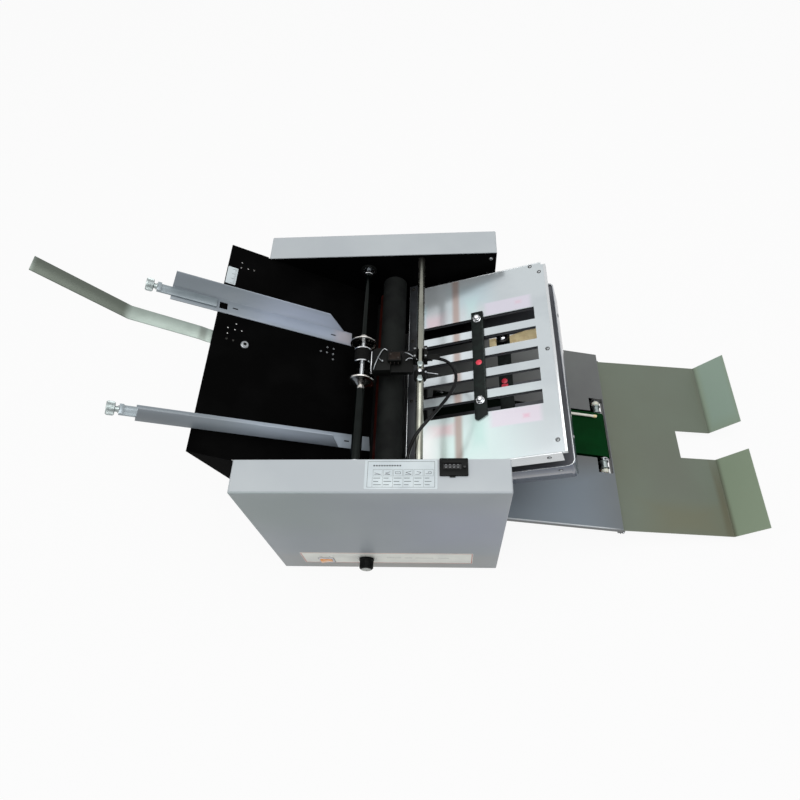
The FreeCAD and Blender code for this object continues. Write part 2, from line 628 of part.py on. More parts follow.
# Feed shaft with its sleeves, cup discs and rubber wheel

def make_feed():
    shaft_end = "(back_pulley_start + 2*pulley_wide + pulley_gap + journal_over)"
    shaft = rod("feed_rod", "feed_radius", "-plate_out - journal_over", shaft_end,
                "feed_x", "0", "feed_z")
    second = "(back_pulley_start + pulley_wide + pulley_gap)"
    pulley = ring("feed_pulley", "feed_radius", "feed_pulley_radius", second,
                  second + " + pulley_wide", "feed_x", "0", "feed_z")
    keep("feed_shaft", group("feed_shaft", [shaft, pulley]))
    front = ring("front_sleeve", "feed_radius", "front_sleeve_radius", "-sleeve_end",
                 "-front_sleeve_start", "feed_x", "0", "feed_z")
    back = ring("back_sleeve", "feed_radius", "back_sleeve_radius", "back_sleeve_start",
                "sleeve_end", "feed_x", "0", "feed_z")
    keep("shaft_sleeves", group("shaft_sleeves", [front, back]))
    solids = []
    for kind, rim, side in (("back", "back_disc_rim", 1), ("front", "front_disc_rim", -1)):
        def away(distance):
            return "%s + %d*(%s)" % (rim, side, distance)
        points = [("feed_radius", away("disc_deep")), ("disc_hub_radius", away("disc_deep")),
                  ("1.15*disc_hub_radius", away("0.65*disc_deep")),
                  ("0.6*disc_radius", away("0.3*disc_deep")),
                  ("disc_radius", away("disc_wall")), ("disc_radius", away("0")),
                  ("disc_radius - disc_wall", away("0")),
                  ("0.55*disc_radius", away("0.3*disc_deep - disc_wall")),
                  ("feed_radius", away("0.35*disc_deep"))]
        solids.append(turned(kind + "_disc", points, "feed_x", "0", "feed_z"))
    wheel_end = "(wheel_start + wheel_wide)"
    for kind, start in (("near", "wheel_start - wheel_ring"), ("far", wheel_end)):
        solids.append(ring(kind + "_ring", "feed_radius", "wheel_ring_radius", start,
                           start + " + wheel_ring", "feed_x", "0", "feed_z"))
    keep("feed_discs", group("feed_discs", solids))
    crown = "(0.06*wheel_radius)"
    tyre = [("feed_radius", "wheel_start"), ("wheel_radius - " + crown, "wheel_start"),
            ("wheel_radius", "wheel_start + 0.2*wheel_wide"),
            ("wheel_radius", "wheel_start + 0.8*wheel_wide"),
            ("wheel_radius - " + crown, wheel_end), ("feed_radius", wheel_end)]
    keep("feed_wheel", turned("feed_wheel", tyre, "feed_x", "0", "feed_z"))


# Separator: a fixed block on the table and a sprung pad under the feed wheel

def table_line(x, up):
    """Height over the table's top face at x, measured square to the slope."""
    return ("(table_rise - (%s + table_reach)*tan(table_slope) + (%s)/cos(table_slope))"
            % (x, up))


def make_separator():
    side_from = "separator_side - separator_half"
    block = [("block_near", table_line("block_near", "0")),
             ("block_far", table_line("block_far", "0")),
             ("block_far", table_line("block_far", "block_high")),
             ("block_near", table_line("block_near", "block_high"))]
    body = slab("separator_base", "XZ", block, side_from, "2*separator_half")
    lean = "((block_near + block_far)/2 + table_reach)/cos(table_slope)"
    socket = rod("post_socket", "post_radius + running_gap", "block_high/3",
                 "block_high + overrun", axis="Z")
    socket.Placement = tilted_spot(lean, "separator_side")
    keep("separator_block", cut("separator_block", body, socket))
    wheel_top = ("((feed_z - table_rise + (feed_x + table_reach)*tan(table_slope))"
                 "*cos(table_slope) - wheel_ring_radius - separator_gap)")
    low = "(block_high + pad_travel + seat_gap)"
    pad = [("block_near", table_line("block_near", low)),
           ("block_far", table_line("block_far", low)),
           ("block_far", table_line("block_far", wheel_top)),
           ("block_near", table_line("block_near", wheel_top))]
    top = slab("pad_top", "XZ", pad, side_from, "2*separator_half")
    post = rod("pad_post", "post_radius", "block_high/3 + pad_travel + seat_gap", low, axis="Z")
    post.Placement = tilted_spot(lean, "separator_side")
    keep("separator_pad", join("separator_pad", [top, post]))


def tilted_spot(along, y):
    """A placement on the table, with Z square to its top face."""
    tilt = FreeCAD.Rotation(FreeCAD.Vector(0, 1, 0), size("table_slope"))
    corner = FreeCAD.Vector(size("-table_reach"), 0, size("table_rise"))
    return FreeCAD.Placement(corner + tilt.multVec(FreeCAD.Vector(size(along), size(y), 0)), tilt)


# Fold rollers: steel core, rubber sleeve and a meshing gear, with their bearings

def gear_phases():
    """Turn of each gear that puts its teeth in the gaps of the one before."""
    tooth = 360 / size("teeth")
    turns = ["red_turn", "first_turn", "second_turn", "third_turn", "fourth_turn"]
    phases = [size("red_turn")]
    for name in turns:
        aim = size(name)
        lead = phases[-1] - aim
        phases.append(aim + HALF_TURN - lead + tooth / 2)
    return phases


def make_gear(name, place, phase):
    """A spur gear with straight flanks, drawn tooth by tooth."""
    count = int(size("teeth"))
    pitch_radius = size(PITCH) / 2
    module = size(PITCH) / count
    bore = size("journal_radius")
    points = []
    for number in range(count):
        for share, radius in ((-0.30, pitch_radius - 1.2 * module),
                              (-0.12, pitch_radius + 0.9 * module),
                              (0.12, pitch_radius + 0.9 * module),
                              (0.30, pitch_radius - 1.2 * module)):
            turn = math.radians(phase + (number + share) * 360 / count)
            points.append(FreeCAD.Vector(radius * math.cos(turn), 0, radius * math.sin(turn)))
    points.append(points[0])
    blank = Part.Face(Part.makePolygon(points))
    disc = blank.extrude(FreeCAD.Vector(0, -size("gear_wide"), 0))
    hole = Part.makeCylinder(bore, 3 * size("gear_wide"),
                             FreeCAD.Vector(0, size("gear_wide"), 0), FreeCAD.Vector(0, -1, 0))
    gear = doc.addObject("Part::Feature", name)
    gear.Shape = disc.cut(hole)
    gear.Placement = FreeCAD.Placement(
        FreeCAD.Vector(size(place[0]), -size("gear_start"), size(place[1])),
        FreeCAD.Rotation())
    return gear


def make_rollers():
    first_pulley = "back_pulley_start"
    second_pulley = "(back_pulley_start + pulley_wide + pulley_gap)"
    for (name, place), phase in zip(ROLLERS.items(), gear_phases()):
        front_end = "-(gear_start + gear_wide + journal_over)"
        back_end = "plate_out + journal_over"
        extra = []
        if name == "main_roller":
            back_end = second_pulley + " + pulley_wide + journal_over"
            extra.append(ring("drive_pulley", "journal_radius", "main_pulley_radius",
                              first_pulley, first_pulley + " + pulley_wide",
                              place[0], "0", place[1]))
            extra.append(ring("feed_drive_pulley", "journal_radius", "feed_pulley_radius",
                              second_pulley, second_pulley + " + pulley_wide",
                              place[0], "0", place[1]))
        if name == "fold_roller_4":
            front_end = "-(front_pulley_start + pulley_wide + journal_over)"
            extra.append(ring("exit_pulley", "journal_radius", "exit_pulley_radius",
                              "-front_pulley_start - pulley_wide", "-front_pulley_start",
                              place[0], "0", place[1]))
        core = [("0", front_end), ("journal_radius", front_end),
                ("journal_radius", "-roller_half - bearing_inner"),
                ("core_radius", "-roller_half - bearing_inner"),
                ("core_radius", "roller_half + bearing_inner"),
                ("journal_radius", "roller_half + bearing_inner"),
                ("journal_radius", back_end), ("0", back_end)]
        solids = [turned(name + "_core", core, place[0], "0", place[1]),
                  ring(name + "_sleeve", "core_radius", "roller_radius", "-roller_half",
                       "roller_half", place[0], "0", place[1]),
                  make_gear(name + "_gear", place, phase)]
        keep(name, group(name, solids + extra))
    rings = []
    carried = [(place, "journal_radius") for place in ROLLERS.values()]
    carried.append((("feed_x", "feed_z"), "feed_radius"))
    carried.append((DRIVE, "belt_shaft_radius"))
    for place, radius in carried:
        for side in (1, -1):
            spots = sorted(["%d*(inner_half - bearing_inner)" % side,
                            "%d*(plate_out + bearing_outer)" % side], key=size)
            rings.append(ring("bearing_%d" % len(rings), radius + " + running_gap",
                              "bearing_radius", spots[0], spots[1], place[0], "0", place[1]))
    keep("bearings", group("bearings", rings))


# Motor, its pulley and the drive belts

def belt_loop(name, near, near_radius, far, far_radius, start, wide):
    """A closed belt round two pulleys of different sizes."""
    one = FreeCAD.Vector(size(near[0]), 0, size(near[1]))
    two = FreeCAD.Vector(size(far[0]), 0, size(far[1]))
    span = (two - one).Length
    aim = math.atan2(two.z - one.z, two.x - one.x)

    def loop(extra):
        r_one = size(near_radius) + size("seat_gap") + extra
        r_two = size(far_radius) + size("seat_gap") + extra
        lean = math.acos((r_one - r_two) / span)

        def spot(centre, radius, turn):
            return centre + FreeCAD.Vector(radius * math.cos(turn), 0, radius * math.sin(turn))

        a, b = spot(one, r_one, aim + lean), spot(two, r_two, aim + lean)
        c, d = spot(two, r_two, aim - lean), spot(one, r_one, aim - lean)
        return Part.Face(Part.Wire([
            Part.LineSegment(a, b).toShape(),
            Part.Arc(b, spot(two, r_two, aim), c).toShape(),
            Part.LineSegment(c, d).toShape(),
            Part.Arc(d, spot(one, r_one, aim + math.pi), a).toShape()]))

    face = loop(size("belt_wall")).cut(loop(0))
    belt = doc.addObject("Part::Feature", name)
    belt.Shape = face.extrude(FreeCAD.Vector(0, size(wide), 0))
    belt.Placement = FreeCAD.Placement(FreeCAD.Vector(0, size(start), 0), FreeCAD.Rotation())
    return belt


def make_drive():
    body = rod("motor_case", "motor_radius", "motor_front", "motor_back", "motor_x", "0",
               "motor_z")
    cradle_top = "motor_z - sqrt(motor_radius*motor_radius - cradle_half*cradle_half)"
    legs = []
    for number, y in enumerate(("motor_front + cradle_wall", "motor_back - 2*cradle_wall")):
        leg = slab("cradle_%d" % number, "XZ",
                   around("motor_x", "(pan_wall + %s)/2" % cradle_top, "2*cradle_half",
                          "%s - pan_wall" % cradle_top), y, "cradle_wall")
        legs.append(leg)
    keep("motor", group("motor", [body] + legs))
    shaft = rod("motor_shaft", "motor_shaft_radius", "motor_back + seat_gap",
                "back_pulley_start + pulley_wide + journal_over", "motor_x", "0", "motor_z")
    pulley = ring("motor_wheel", "motor_shaft_radius", "motor_pulley_radius",
                  "back_pulley_start", "back_pulley_start + pulley_wide", "motor_x", "0",
                  "motor_z")
    keep("motor_pulley", group("motor_pulley", [shaft, pulley]))
    second_pulley = "(back_pulley_start + pulley_wide + pulley_gap)"
    belts = [belt_loop("main_belt", ("motor_x", "motor_z"), "motor_pulley_radius", MAIN,
                       "main_pulley_radius", "back_pulley_start", "pulley_wide"),
             belt_loop("feed_belt", ("feed_x", "feed_z"), "feed_pulley_radius", MAIN,
                       "feed_pulley_radius", second_pulley, "pulley_wide"),
             belt_loop("exit_belt", FOURTH, "exit_pulley_radius", DRIVE, "exit_pulley_radius",
                       "-front_pulley_start - pulley_wide", "pulley_wide")]
    keep("drive_belts", group("drive_belts", belts))
    board = slab("board", "XZ", around("board_x", "board_z", "board_long", "board_high"),
                 "-plate_out - board_off - board_wall", "board_wall")
    parts = [board]
    for x in ("-0.42", "0.42"):
        for z in ("-0.42", "0.42"):
            parts.append(rod("post_%d" % len(parts), "post_round",
                             "-plate_out - board_off", "-plate_out",
                             "board_x + %s*board_long" % x, "0", "board_z + %s*board_high" % z))
    low = "-plate_out - board_off - board_wall"
    parts.append(rod("capacitor", "0.13*board_long", low + " - 0.2*board_long", low,
                     "board_x - 0.25*board_long", "0", "board_z + 0.2*board_high"))
    parts.append(slab("transformer", "XZ",
                      around("board_x + 0.2*board_long", "board_z + 0.15*board_high",
                             "0.4*board_long", "0.35*board_high"),
                      low + " - 0.18*board_long", "0.18*board_long"))
    parts.append(slab("heat_sink", "XZ",
                      around("board_x", "board_z - 0.25*board_high", "0.6*board_long",
                             "0.15*board_high"),
                      low + " - 0.15*board_long", "0.15*board_long"))
    face = "-cover_out"
    pot = rod("pot_case", "pot_radius", "cover_wall + 3*seat_gap",
              "cover_wall + 3*seat_gap + pot_long", "knob_x", face, "knob_z")
    bush = ring("pot_bush", "knob_shaft_radius + seat_gap", "pot_radius", "cover_wall",
                "cover_wall + 3*seat_gap", "knob_x", face, "knob_z")
    parts.append(join("potentiometer", [pot, bush]))
    keep("control_board", group("control_board", parts))


# Paper sensor on the cross bar, its feeler and its cable

def make_sensor():
    low, high = "cross_z - clamp_drop", "cross_z + clamp_rise"
    near = "clamp_side - clamp_wide/2"
    clamp = slab("bar_clamp", "XZ",
                 rectangle("cross_x - clamp_half", "cross_x + clamp_half", low, high), near,
                 "clamp_wide", holes=[("cross_x", "cross_z", "cross_radius")])
    arm_far = "(cross_x - clamp_half)"
    arm_near = "(%s - arm_reach)" % arm_far
    arm = slab("sensor_arm", "XZ", rectangle(arm_near, arm_far, low, low + " + arm_wall"),
               "arm_side - arm_wide/2", "arm_wide")
    head_low = low + " + arm_wall/2 - head_high/2"
    head = slab("sensor_head", "XZ",
                [("%s - head_long" % arm_near, head_low),
                 (arm_near, head_low), (arm_near, head_low + " + head_high"),
                 ("%s - 0.75*head_long" % arm_near, head_low + " + head_high"),
                 ("%s - head_long" % arm_near, head_low + " + 0.7*head_high")],
                "head_side - head_wide/2", "head_wide")
    bolts = [rod("clamp_bolt_%d" % n, "clamp_bolt_radius", high, high + " + clamp_bolt_high",
                 "cross_x + %s*clamp_half" % share, "clamp_side", "0", "Z")
             for n, share in enumerate(("-0.6", "0.6"))]
    wing = slab("clamp_wing", "XY",
                rectangle("cross_x + clamp_half", "cross_x + clamp_half + wing_long",
                          "clamp_side - clamp_wide/2", "clamp_side - clamp_wide/2 + wing_wide"),
                high + " - 2*wing_wall", "wing_wall")
    x, y, z = (str(value) for value in CABLE_ROUTE[0])
    cable_hole = "cable_radius + running_gap"
    gland = ring("cable_gland", cable_hole, "gland_radius",
                 "cross_x + clamp_half - (%s)" % x, "gland_long", x, y, z, "X")
    x, y, z = (str(value) for value in CABLE_ROUTE[-1])
    grommet = ring("plate_grommet", cable_hole, "grommet_radius", "-plate_out",
                   "-inner_half", x, "0", z)
    collar = ring("grommet_collar", cable_hole, "1.3*grommet_radius", "-inner_half",
                  "-inner_half + grommet_radius/3", x, "0", z)
    held = [clamp, arm, head] + bolts + [wing, gland, join("cable_grommet", [grommet, collar])]
    keep("sensor_bracket", group("sensor_bracket", held))
    # The feeler is a wire with a ball, hung on a pin at the head's front face
    pivot_x = "(%s - head_long - feeler_radius - seat_gap)" % arm_near
    pivot_z = "(%s + 0.4*head_high)" % head_low
    pin_side = "head_side + head_wide/2"
    pin = rod("feeler_pin", "feeler_radius", "-feeler_long/2", "feeler_long/2", pivot_x,
              "head_side + head_wide/2 - feeler_long/2", pivot_z)
    drop = rod("feeler_wire", "feeler_radius", "-feeler_drop", "0", pivot_x,
               pin_side + " - feeler_long", pivot_z, "Z")
    ball = doc.addObject("Part::Sphere", "feeler_ball")
    ball.setExpression("Radius", "Sizes.feeler_ball")
    ball.setExpression("Placement.Base.x", bound(pivot_x))
    ball.setExpression("Placement.Base.y", bound(pin_side + " - feeler_long"))
    ball.setExpression("Placement.Base.z", bound(pivot_z + " - feeler_drop"))
    keep("paper_feeler", join("paper_feeler", [pin, drop, ball]))
    make_cable()


def make_cable():
    """A tube of straight runs joined by tangent arcs along the route."""
    spots = [FreeCAD.Vector(*point) for point in CABLE_ROUTE]
    radius = size("cable_radius")
    edges = []
    start = spots[0]
    for before, corner, after in zip(spots, spots[1:], spots[2:]):
        into = (corner - before).normalize()
        out = (after - corner).normalize()
        half = into.getAngle(out) / 2
        shorter = min((corner - before).Length, (after - corner).Length)
        reach = 0.45 * shorter
        bend = reach / math.tan(half)
        print("cable bend radius", round(bend, 1), "turn", round(math.degrees(2 * half), 1),
              "run", round(shorter, 1))
        first, last = corner - into * reach, corner + out * reach
        towards = (out - into).normalize()
        middle = corner + towards * (bend / math.cos(half) - bend)
        edges.append(Part.LineSegment(start, first).toShape())
        edges.append(Part.Arc(first, middle, last).toShape())
        start = last
    edges.append(Part.LineSegment(start, spots[-1]).toShape())
    path = Part.Wire(edges)
    end = Part.Wire(Part.Circle(spots[0], spots[1] - spots[0], radius).toShape())
    tube = path.makePipeShell([end], True, False)
    expected = math.pi * radius ** 2 * path.Length
    print("cable length", round(path.Length, 1), "volume share",
          round(tube.Volume / expected, 4))
    cable = doc.addObject("Part::Feature", "sensor_cable")
    cable.Shape = tube
    keep("sensor_cable", cable)


# Buckle plates: two slotted sheets with side rails, made flat with X up the slope

def slots(long):
    windows = []
    count = int(size("slot_count"))
    for number in range(count):
        middle = "slot_side + (%s)*slot_pitch" % (number - (count - 1) / 2)
        windows.append(rectangle("slot_from", long + " - slot_end", middle + " - slot_open/2",
                                 middle + " + slot_open/2"))
    return windows


def plate_frame(x, z):
    return lambda name, piece: keep_tilted(name, piece, x, z, "-fold_slope")


BACK_SHEET = "(-2*sheet_wall - sheet_gap)"


def make_upper_plate():
    place = plate_frame("upper_x", "upper_z")
    notch = [("0", "-upper_half"), ("upper_long", "-upper_half"),
             ("upper_long", "upper_half - notch_wide"),
             ("upper_long - notch_long", "upper_half - notch_wide"),
             ("upper_long - notch_long", "upper_half"), ("0", "upper_half")]
    place("upper_plate_top",
          slab("upper_plate_top", "XY", notch, "-sheet_wall", "sheet_wall",
               slots("upper_long")))
    place("upper_plate_bottom",
          slab("upper_plate_bottom", "XY", notch, BACK_SHEET, "sheet_wall",
               slots("upper_long")))
    rails = []
    low = "(%s + sheet_wall)" % BACK_SHEET
    for side in (1, -1):
        def across(distance):
            return "%d*(upper_half + %s)" % (side, distance)
        outline = [(across("-rail_wide"), low), (across("0"), low), (across("0"), "-rail_high"),
                   (across("rail_wall"), "-rail_high"), (across("rail_wall"), "0"),
                   (across("0"), "0"), (across("0"), "-sheet_wall"),
                   (across("-rail_wide"), "-sheet_wall")]
        long = "upper_long - notch_long"
        rails.append(slab("upper_rail_%d" % len(rails), "YZ", outline, "0", long))
    end_bar = rectangle("upper_long - notch_long", "upper_long", "-upper_half",
                        "upper_half - notch_wide")
    rails.append(slab("upper_end_bar", "XY", end_bar, low, "sheet_gap"))
    place("upper_plate_rails", group("upper_plate_rails", rails))
    place("mouth_bar", slab("mouth_bar", "XY",
                            rectangle("mouth_near", "mouth_far", "-mouth_half", "mouth_half"),
                            "0", "mouth_high"))


def make_lower_plate():
    place = plate_frame("lower_x", "lower_z")
    frame = new_body("second_plate_frame")
    add_slab(frame, "XY", rectangle("0", "lower_long", "-lower_half", "lower_half"),
             "-frame_high", "frame_high + frame_lip")
    far = size("lower_long")
    round_edges(frame, "frame_round",
                lambda m, e: abs(m.x - far) < 1e-6 and abs(e[0].z - e[1].z) > 1)
    inner = "(lower_half - frame_wall)"
    room = rectangle("-overrun", "lower_long - frame_wall", "-" + inner, inner)
    cut_slab(frame, "XY", "-frame_high - overrun", "frame_high + frame_lip + 2*overrun", [room])
    place("second_plate_frame", frame)
    flat = rectangle("0", "lower_long - frame_wall - seat_gap",
                     "-(%s - seat_gap)" % inner, inner + " - seat_gap")
    sheets = [slab("second_top_sheet", "XY", flat, "-sheet_wall", "sheet_wall",
                   slots("lower_long")),
              slab("second_back_sheet", "XY", flat, BACK_SHEET, "sheet_wall",
                   slots("lower_long"))]
    for number, side in enumerate((1, -1)):
        edge = sorted(["%d*(%s - seat_gap)" % (side, inner),
                       "%d*(%s - seat_gap - rail_wide)" % (side, inner)], key=size)
        sheets.append(slab("second_spacer_%d" % number, "XY",
                           rectangle("0", "lower_long - frame_wall - seat_gap", edge[0], edge[1]),
                           "%s + sheet_wall" % BACK_SHEET, "sheet_gap"))
    place("second_plate_sheets", group("second_plate_sheets", sheets))


def make_stop(name, frame, wide, back, back_nut, nut_radius, nuts_apart):
    """A stop bar over the plate, its comb between the sheets, studs and dome nuts."""
    left, right = "(%s - %s/2)" % (name, wide), "(%s + %s/2)" % (name, wide)
    outline = [(left, "-0.25*stop_front - 0.75*stop_point"),
               ("%s - %s/4" % (name, wide), "-stop_point"), (right, "-stop_front"),
               (right, back), (left, back)]
    studs = [(name, back_nut, "stud_radius"), (name, "front_nut", "stud_radius")]
    bar = slab(name + "_blade", "XY", outline, "seat_gap", "stop_wall", holes=studs)
    comb_low = "(-sheet_wall - sheet_gap/2 - comb_wall/2)"
    comb = slab(name + "_comb", "XY",
                rectangle("%s - comb_wide/2" % name, "%s + comb_wide/2" % name,
                          "-stop_front", back), comb_low, "comb_wall", holes=studs)
    nuts = []
    base = "(seat_gap + stop_wall)"
    for number, y in enumerate((back_nut, "front_nut")):
        dome = [("0", comb_low), ("stud_radius", comb_low), ("stud_radius", base),
                (nut_radius, base), (nut_radius, base + " + 0.45*nut_high"),
                ("0.87*" + nut_radius, base + " + 0.7*nut_high"),
                ("0.5*" + nut_radius, base + " + 0.93*nut_high"), ("0", base + " + nut_high")]
        nuts.append(turned("%s_nut_%d" % (name, number), dome, name, y, "0", "Z"))
    if nuts_apart:
        frame(name + "_bar", group(name + "_bars", [bar, comb]))
        frame(name + "_nuts", group(name + "_nuts", nuts))
    else:
        frame(name + "_bar", group(name + "_bars", [bar, comb] + nuts))


def make_left_plates():
    """Two buckle plates that rise to the left under the infeed table."""
    solids = []
    for kind, z, long in (("high", "left_upper_z", "left_upper_long"),
                          ("low", "left_lower_z", "left_lower_long")):
        outline = rectangle("0", long, "-left_half", "left_half")
        made = [slab(kind + "_left_top", "XY", outline, "-sheet_wall", "sheet_wall", []),
                slab(kind + "_left_back", "XY", outline, BACK_SHEET, "sheet_wall", [])]
        for number, side in enumerate((1, -1)):
            edge = sorted(["%d*left_half" % side, "%d*(left_half - rail_wide)" % side], key=size)
            made.append(slab("%s_left_spacer_%d" % (kind, number), "XY",
                             rectangle("0", long, edge[0], edge[1]),
                             "%s + sheet_wall" % BACK_SHEET, "sheet_gap"))
        tilt = FreeCAD.Rotation(FreeCAD.Vector(0, 1, 0), size("table_slope"))
        for piece in made:
            doc.recompute()
            piece.Placement = FreeCAD.Placement(
                FreeCAD.Vector(size("left_x"), 0, size(z)), tilt)
        solids += made
    keep("left_fold_plates", group("left_fold_plates", solids))


def make_pegs():
    """Pegs that carry the plates on the side plates, two ties and the tray's hinge rod."""
    pegs = []
    middle = "%s + sheet_wall + sheet_gap/2" % BACK_SHEET
    carried = []
    for along in ("peg_near", "peg_far"):
        carried.append((in_frame("upper_x", "upper_z", "-fold_slope", along, "-peg_drop"),
                        "(upper_half + rail_wall)"))
        carried.append((in_frame("lower_x", "lower_z", "-fold_slope", along, "-peg_drop"),
                        "lower_half"))
    for z, long in (("left_upper_z", "left_upper_long"), ("left_lower_z", "left_lower_long")):
        for share in ("0.2", "0.8"):
            carried.append((in_frame("left_x", z, "table_slope", "%s*%s" % (share, long),
                                     middle), "left_half"))
    for x in ("(drive_x - bearing_radius - 1.25*peg_radius)", "(box_long - peg_in)"):
        z = "(%s - delivery_wall/2)" % delivery_height(x)
        carried.append(((x, z), "delivery_half"))
    for place, start in carried:
        for side in (1, -1):
            ends = sorted(["%d*%s" % (side, start), "%d*inner_half" % side], key=size)
            pegs.append(rod("peg_%d" % len(pegs), "peg_radius", ends[0], ends[1],
                            place[0], "0", place[1]))
    for x, z in (("tie_near", "tie_mid"), ("tie_far", "tie_low")):
        pegs.append(rod("tie_%d" % len(pegs), "tie_radius", "-inner_half", "inner_half",
                        x, "0", z))
    pegs.append(rod("tray_hinge_rod", "hinge_radius",
                    "-tray_half - seat_gap - ear_wall - journal_over",
                    "tray_half + seat_gap + ear_wall + journal_over", "hinge_x", "0", "hinge_z"))
    keep("rods_and_pegs", group("rods_and_pegs", pegs))


def make_screws(screws):
    """Heads of the plate's screws, put beside the cover's in one node."""
    points = [("0", "0"), ("plate_screw_radius", "0"),
              ("plate_screw_radius", "0.4*plate_screw_high"),
              ("0.6*plate_screw_radius", "plate_screw_high"), ("0", "plate_screw_high")]
    edge = "(upper_long - plate_screw_in)"
    for along, y in ((edge, "0"), (edge, "0.89*upper_half"), (edge, "-0.89*upper_half"),
                     ("0.892*upper_long", "upper_half - rail_wide/2")):
        x, z = in_frame("upper_x", "upper_z", "-fold_slope", along, "0")
        screw = turned("plate_screw_%d" % len(screws), points, x, y, z, "Z")
        doc.recompute()
        screw.Placement = FreeCAD.Placement(
            screw.Placement.Base,
            FreeCAD.Rotation(FreeCAD.Vector(0, 1, 0), size("-fold_slope")))
        screws.append(screw)
    keep("screws", group("screws", screws))


# Delivery table with its belt, rollers and hold-down rod

def make_delivery():
    path = [("delivery_x", "delivery_z - flange_drop"), ("delivery_x", "delivery_z"),
            ("delivery_top", delivery_height("delivery_top")), ("chute_x", "chute_z")]
    sheet_piece = bent_sheet("delivery_sheet", path, "delivery_wall", "-delivery_half",
                             "delivery_half")
    opening = slab("belt_opening", "XY",
                   [("window_from", "-belt_window"), ("arm_from", "-belt_window"),
                    ("arm_from", "-arm_half"), ("window_to", "-arm_half"),
                    ("window_to", "arm_half"), ("arm_from", "arm_half"),
                    ("arm_from", "belt_window"), ("window_from", "belt_window")],
                   "0", "box_high/2")
    open_sheet = cut("open_sheet", sheet_piece, opening)
    parts = [open_sheet]

    def under(x):
        return "(%s - 0.5*delivery_wall)" % delivery_height(x)

    near, far = "(idle_x - ear_half)", "(idle_x + ear_half)"
    ear = [(near, under(near)), (near, IDLE[1] + " - ear_half"), (far, IDLE[1] + " - ear_half"),
           (far, under(far))]
    for number, y in enumerate(("arm_half", "-arm_half - ear_wall")):
        parts.append(slab("ear_%d" % number, "XZ", ear, y, "ear_wall",
                          holes=[(IDLE[0], IDLE[1], "belt_shaft_radius + running_gap")]))
    start = "(drive_x + belt_shaft_radius + flange_in)"
    flange = [(start, under(start)), ("delivery_x - delivery_wall/2",
                                      under("(delivery_x - delivery_wall/2)")),
              ("delivery_x - delivery_wall/2",
               under("(delivery_x - delivery_wall/2)") + " - side_flange"),
              (start, under(start) + " - side_flange")]
    for number, y in enumerate(("delivery_half - delivery_wall", "-delivery_half")):
        parts.append(slab("side_flange_%d" % number, "XZ", flange, y, "delivery_wall"))
    hinge = around("(hinge_x + delivery_x - delivery_wall)/2", "hinge_z",
                   "hinge_x - delivery_x + delivery_wall + tray_ear", "2*barrel_radius")
    for number, y in enumerate(("tray_half + seat_gap", "-tray_half - seat_gap - ear_wall")):
        parts.append(slab("tray_ear_%d" % number, "XZ", hinge, y, "ear_wall",
                          holes=[("hinge_x", "hinge_z", "hinge_radius")]))
    keep("delivery_table", join("delivery_table", parts))

    # The belt is an oval ring round both rollers, made flat and then sloped
    inner = "(belt_roller_radius + seat_gap)"
    outer = "(%s + belt_thick)" % inner
    belt = belt_shape(inner, outer)
    keep("delivery_belt", belt)
    wide = "(belt_half + belt_window)/2"
    drive_end = "front_pulley_start + pulley_wide + journal_over"
    drive = [rod("drive_shaft", "belt_shaft_radius", "-(%s)" % drive_end,
                 "plate_out + journal_over", DRIVE[0], "0", DRIVE[1]),
             ring("drive_drum", "belt_shaft_radius", "belt_roller_radius", "-(%s)" % wide, wide,
                  DRIVE[0], "0", DRIVE[1]),
             ring("drive_wheel", "belt_shaft_radius", "exit_pulley_radius",
                  "-front_pulley_start - pulley_wide", "-front_pulley_start",
                  DRIVE[0], "0", DRIVE[1])]
    keep("belt_drive_roller", group("belt_drive_roller", drive))
    idle = [rod("idle_shaft", "belt_shaft_radius", "-arm_half - ear_wall - journal_over",
                "arm_half + ear_wall + journal_over", IDLE[0], "0", IDLE[1]),
            ring("idle_drum", "belt_shaft_radius", "belt_roller_radius", "-(%s)" % wide, wide,
                 IDLE[0], "0", IDLE[1])]
    for side in (1, -1):
        spots = sorted(["%d*wheel_end_side" % side,
                        "%d*(wheel_end_side + wheel_end_wide)" % side], key=size)
        idle.append(ring("idle_wheel_%d" % len(idle), "belt_shaft_radius", "wheel_end_radius",
                         spots[0], spots[1], IDLE[0], "0", IDLE[1]))
    keep("belt_idle_roller", group("belt_idle_roller", idle))
    long_rod = rod("hold_rod", "rod_radius", "rod_from", "rod_to", "0", "rod_side", "rod_high",
                   "X")
    side_rod = rod("hold_side", "rod_radius", "rod_side", "rod_foot_side", "rod_from", "0",
                   "rod_high")
    foot = slab("hold_foot", "XY", around("rod_from", "rod_foot_side", "2*foot_plate",
                                          "2*foot_plate"), "seat_gap", "rod_high - seat_gap")
    keep_tilted("hold_down_rod", join("hold_down_rod", [long_rod, side_rod, foot]),
                "delivery_x", "delivery_z", "delivery_slope")


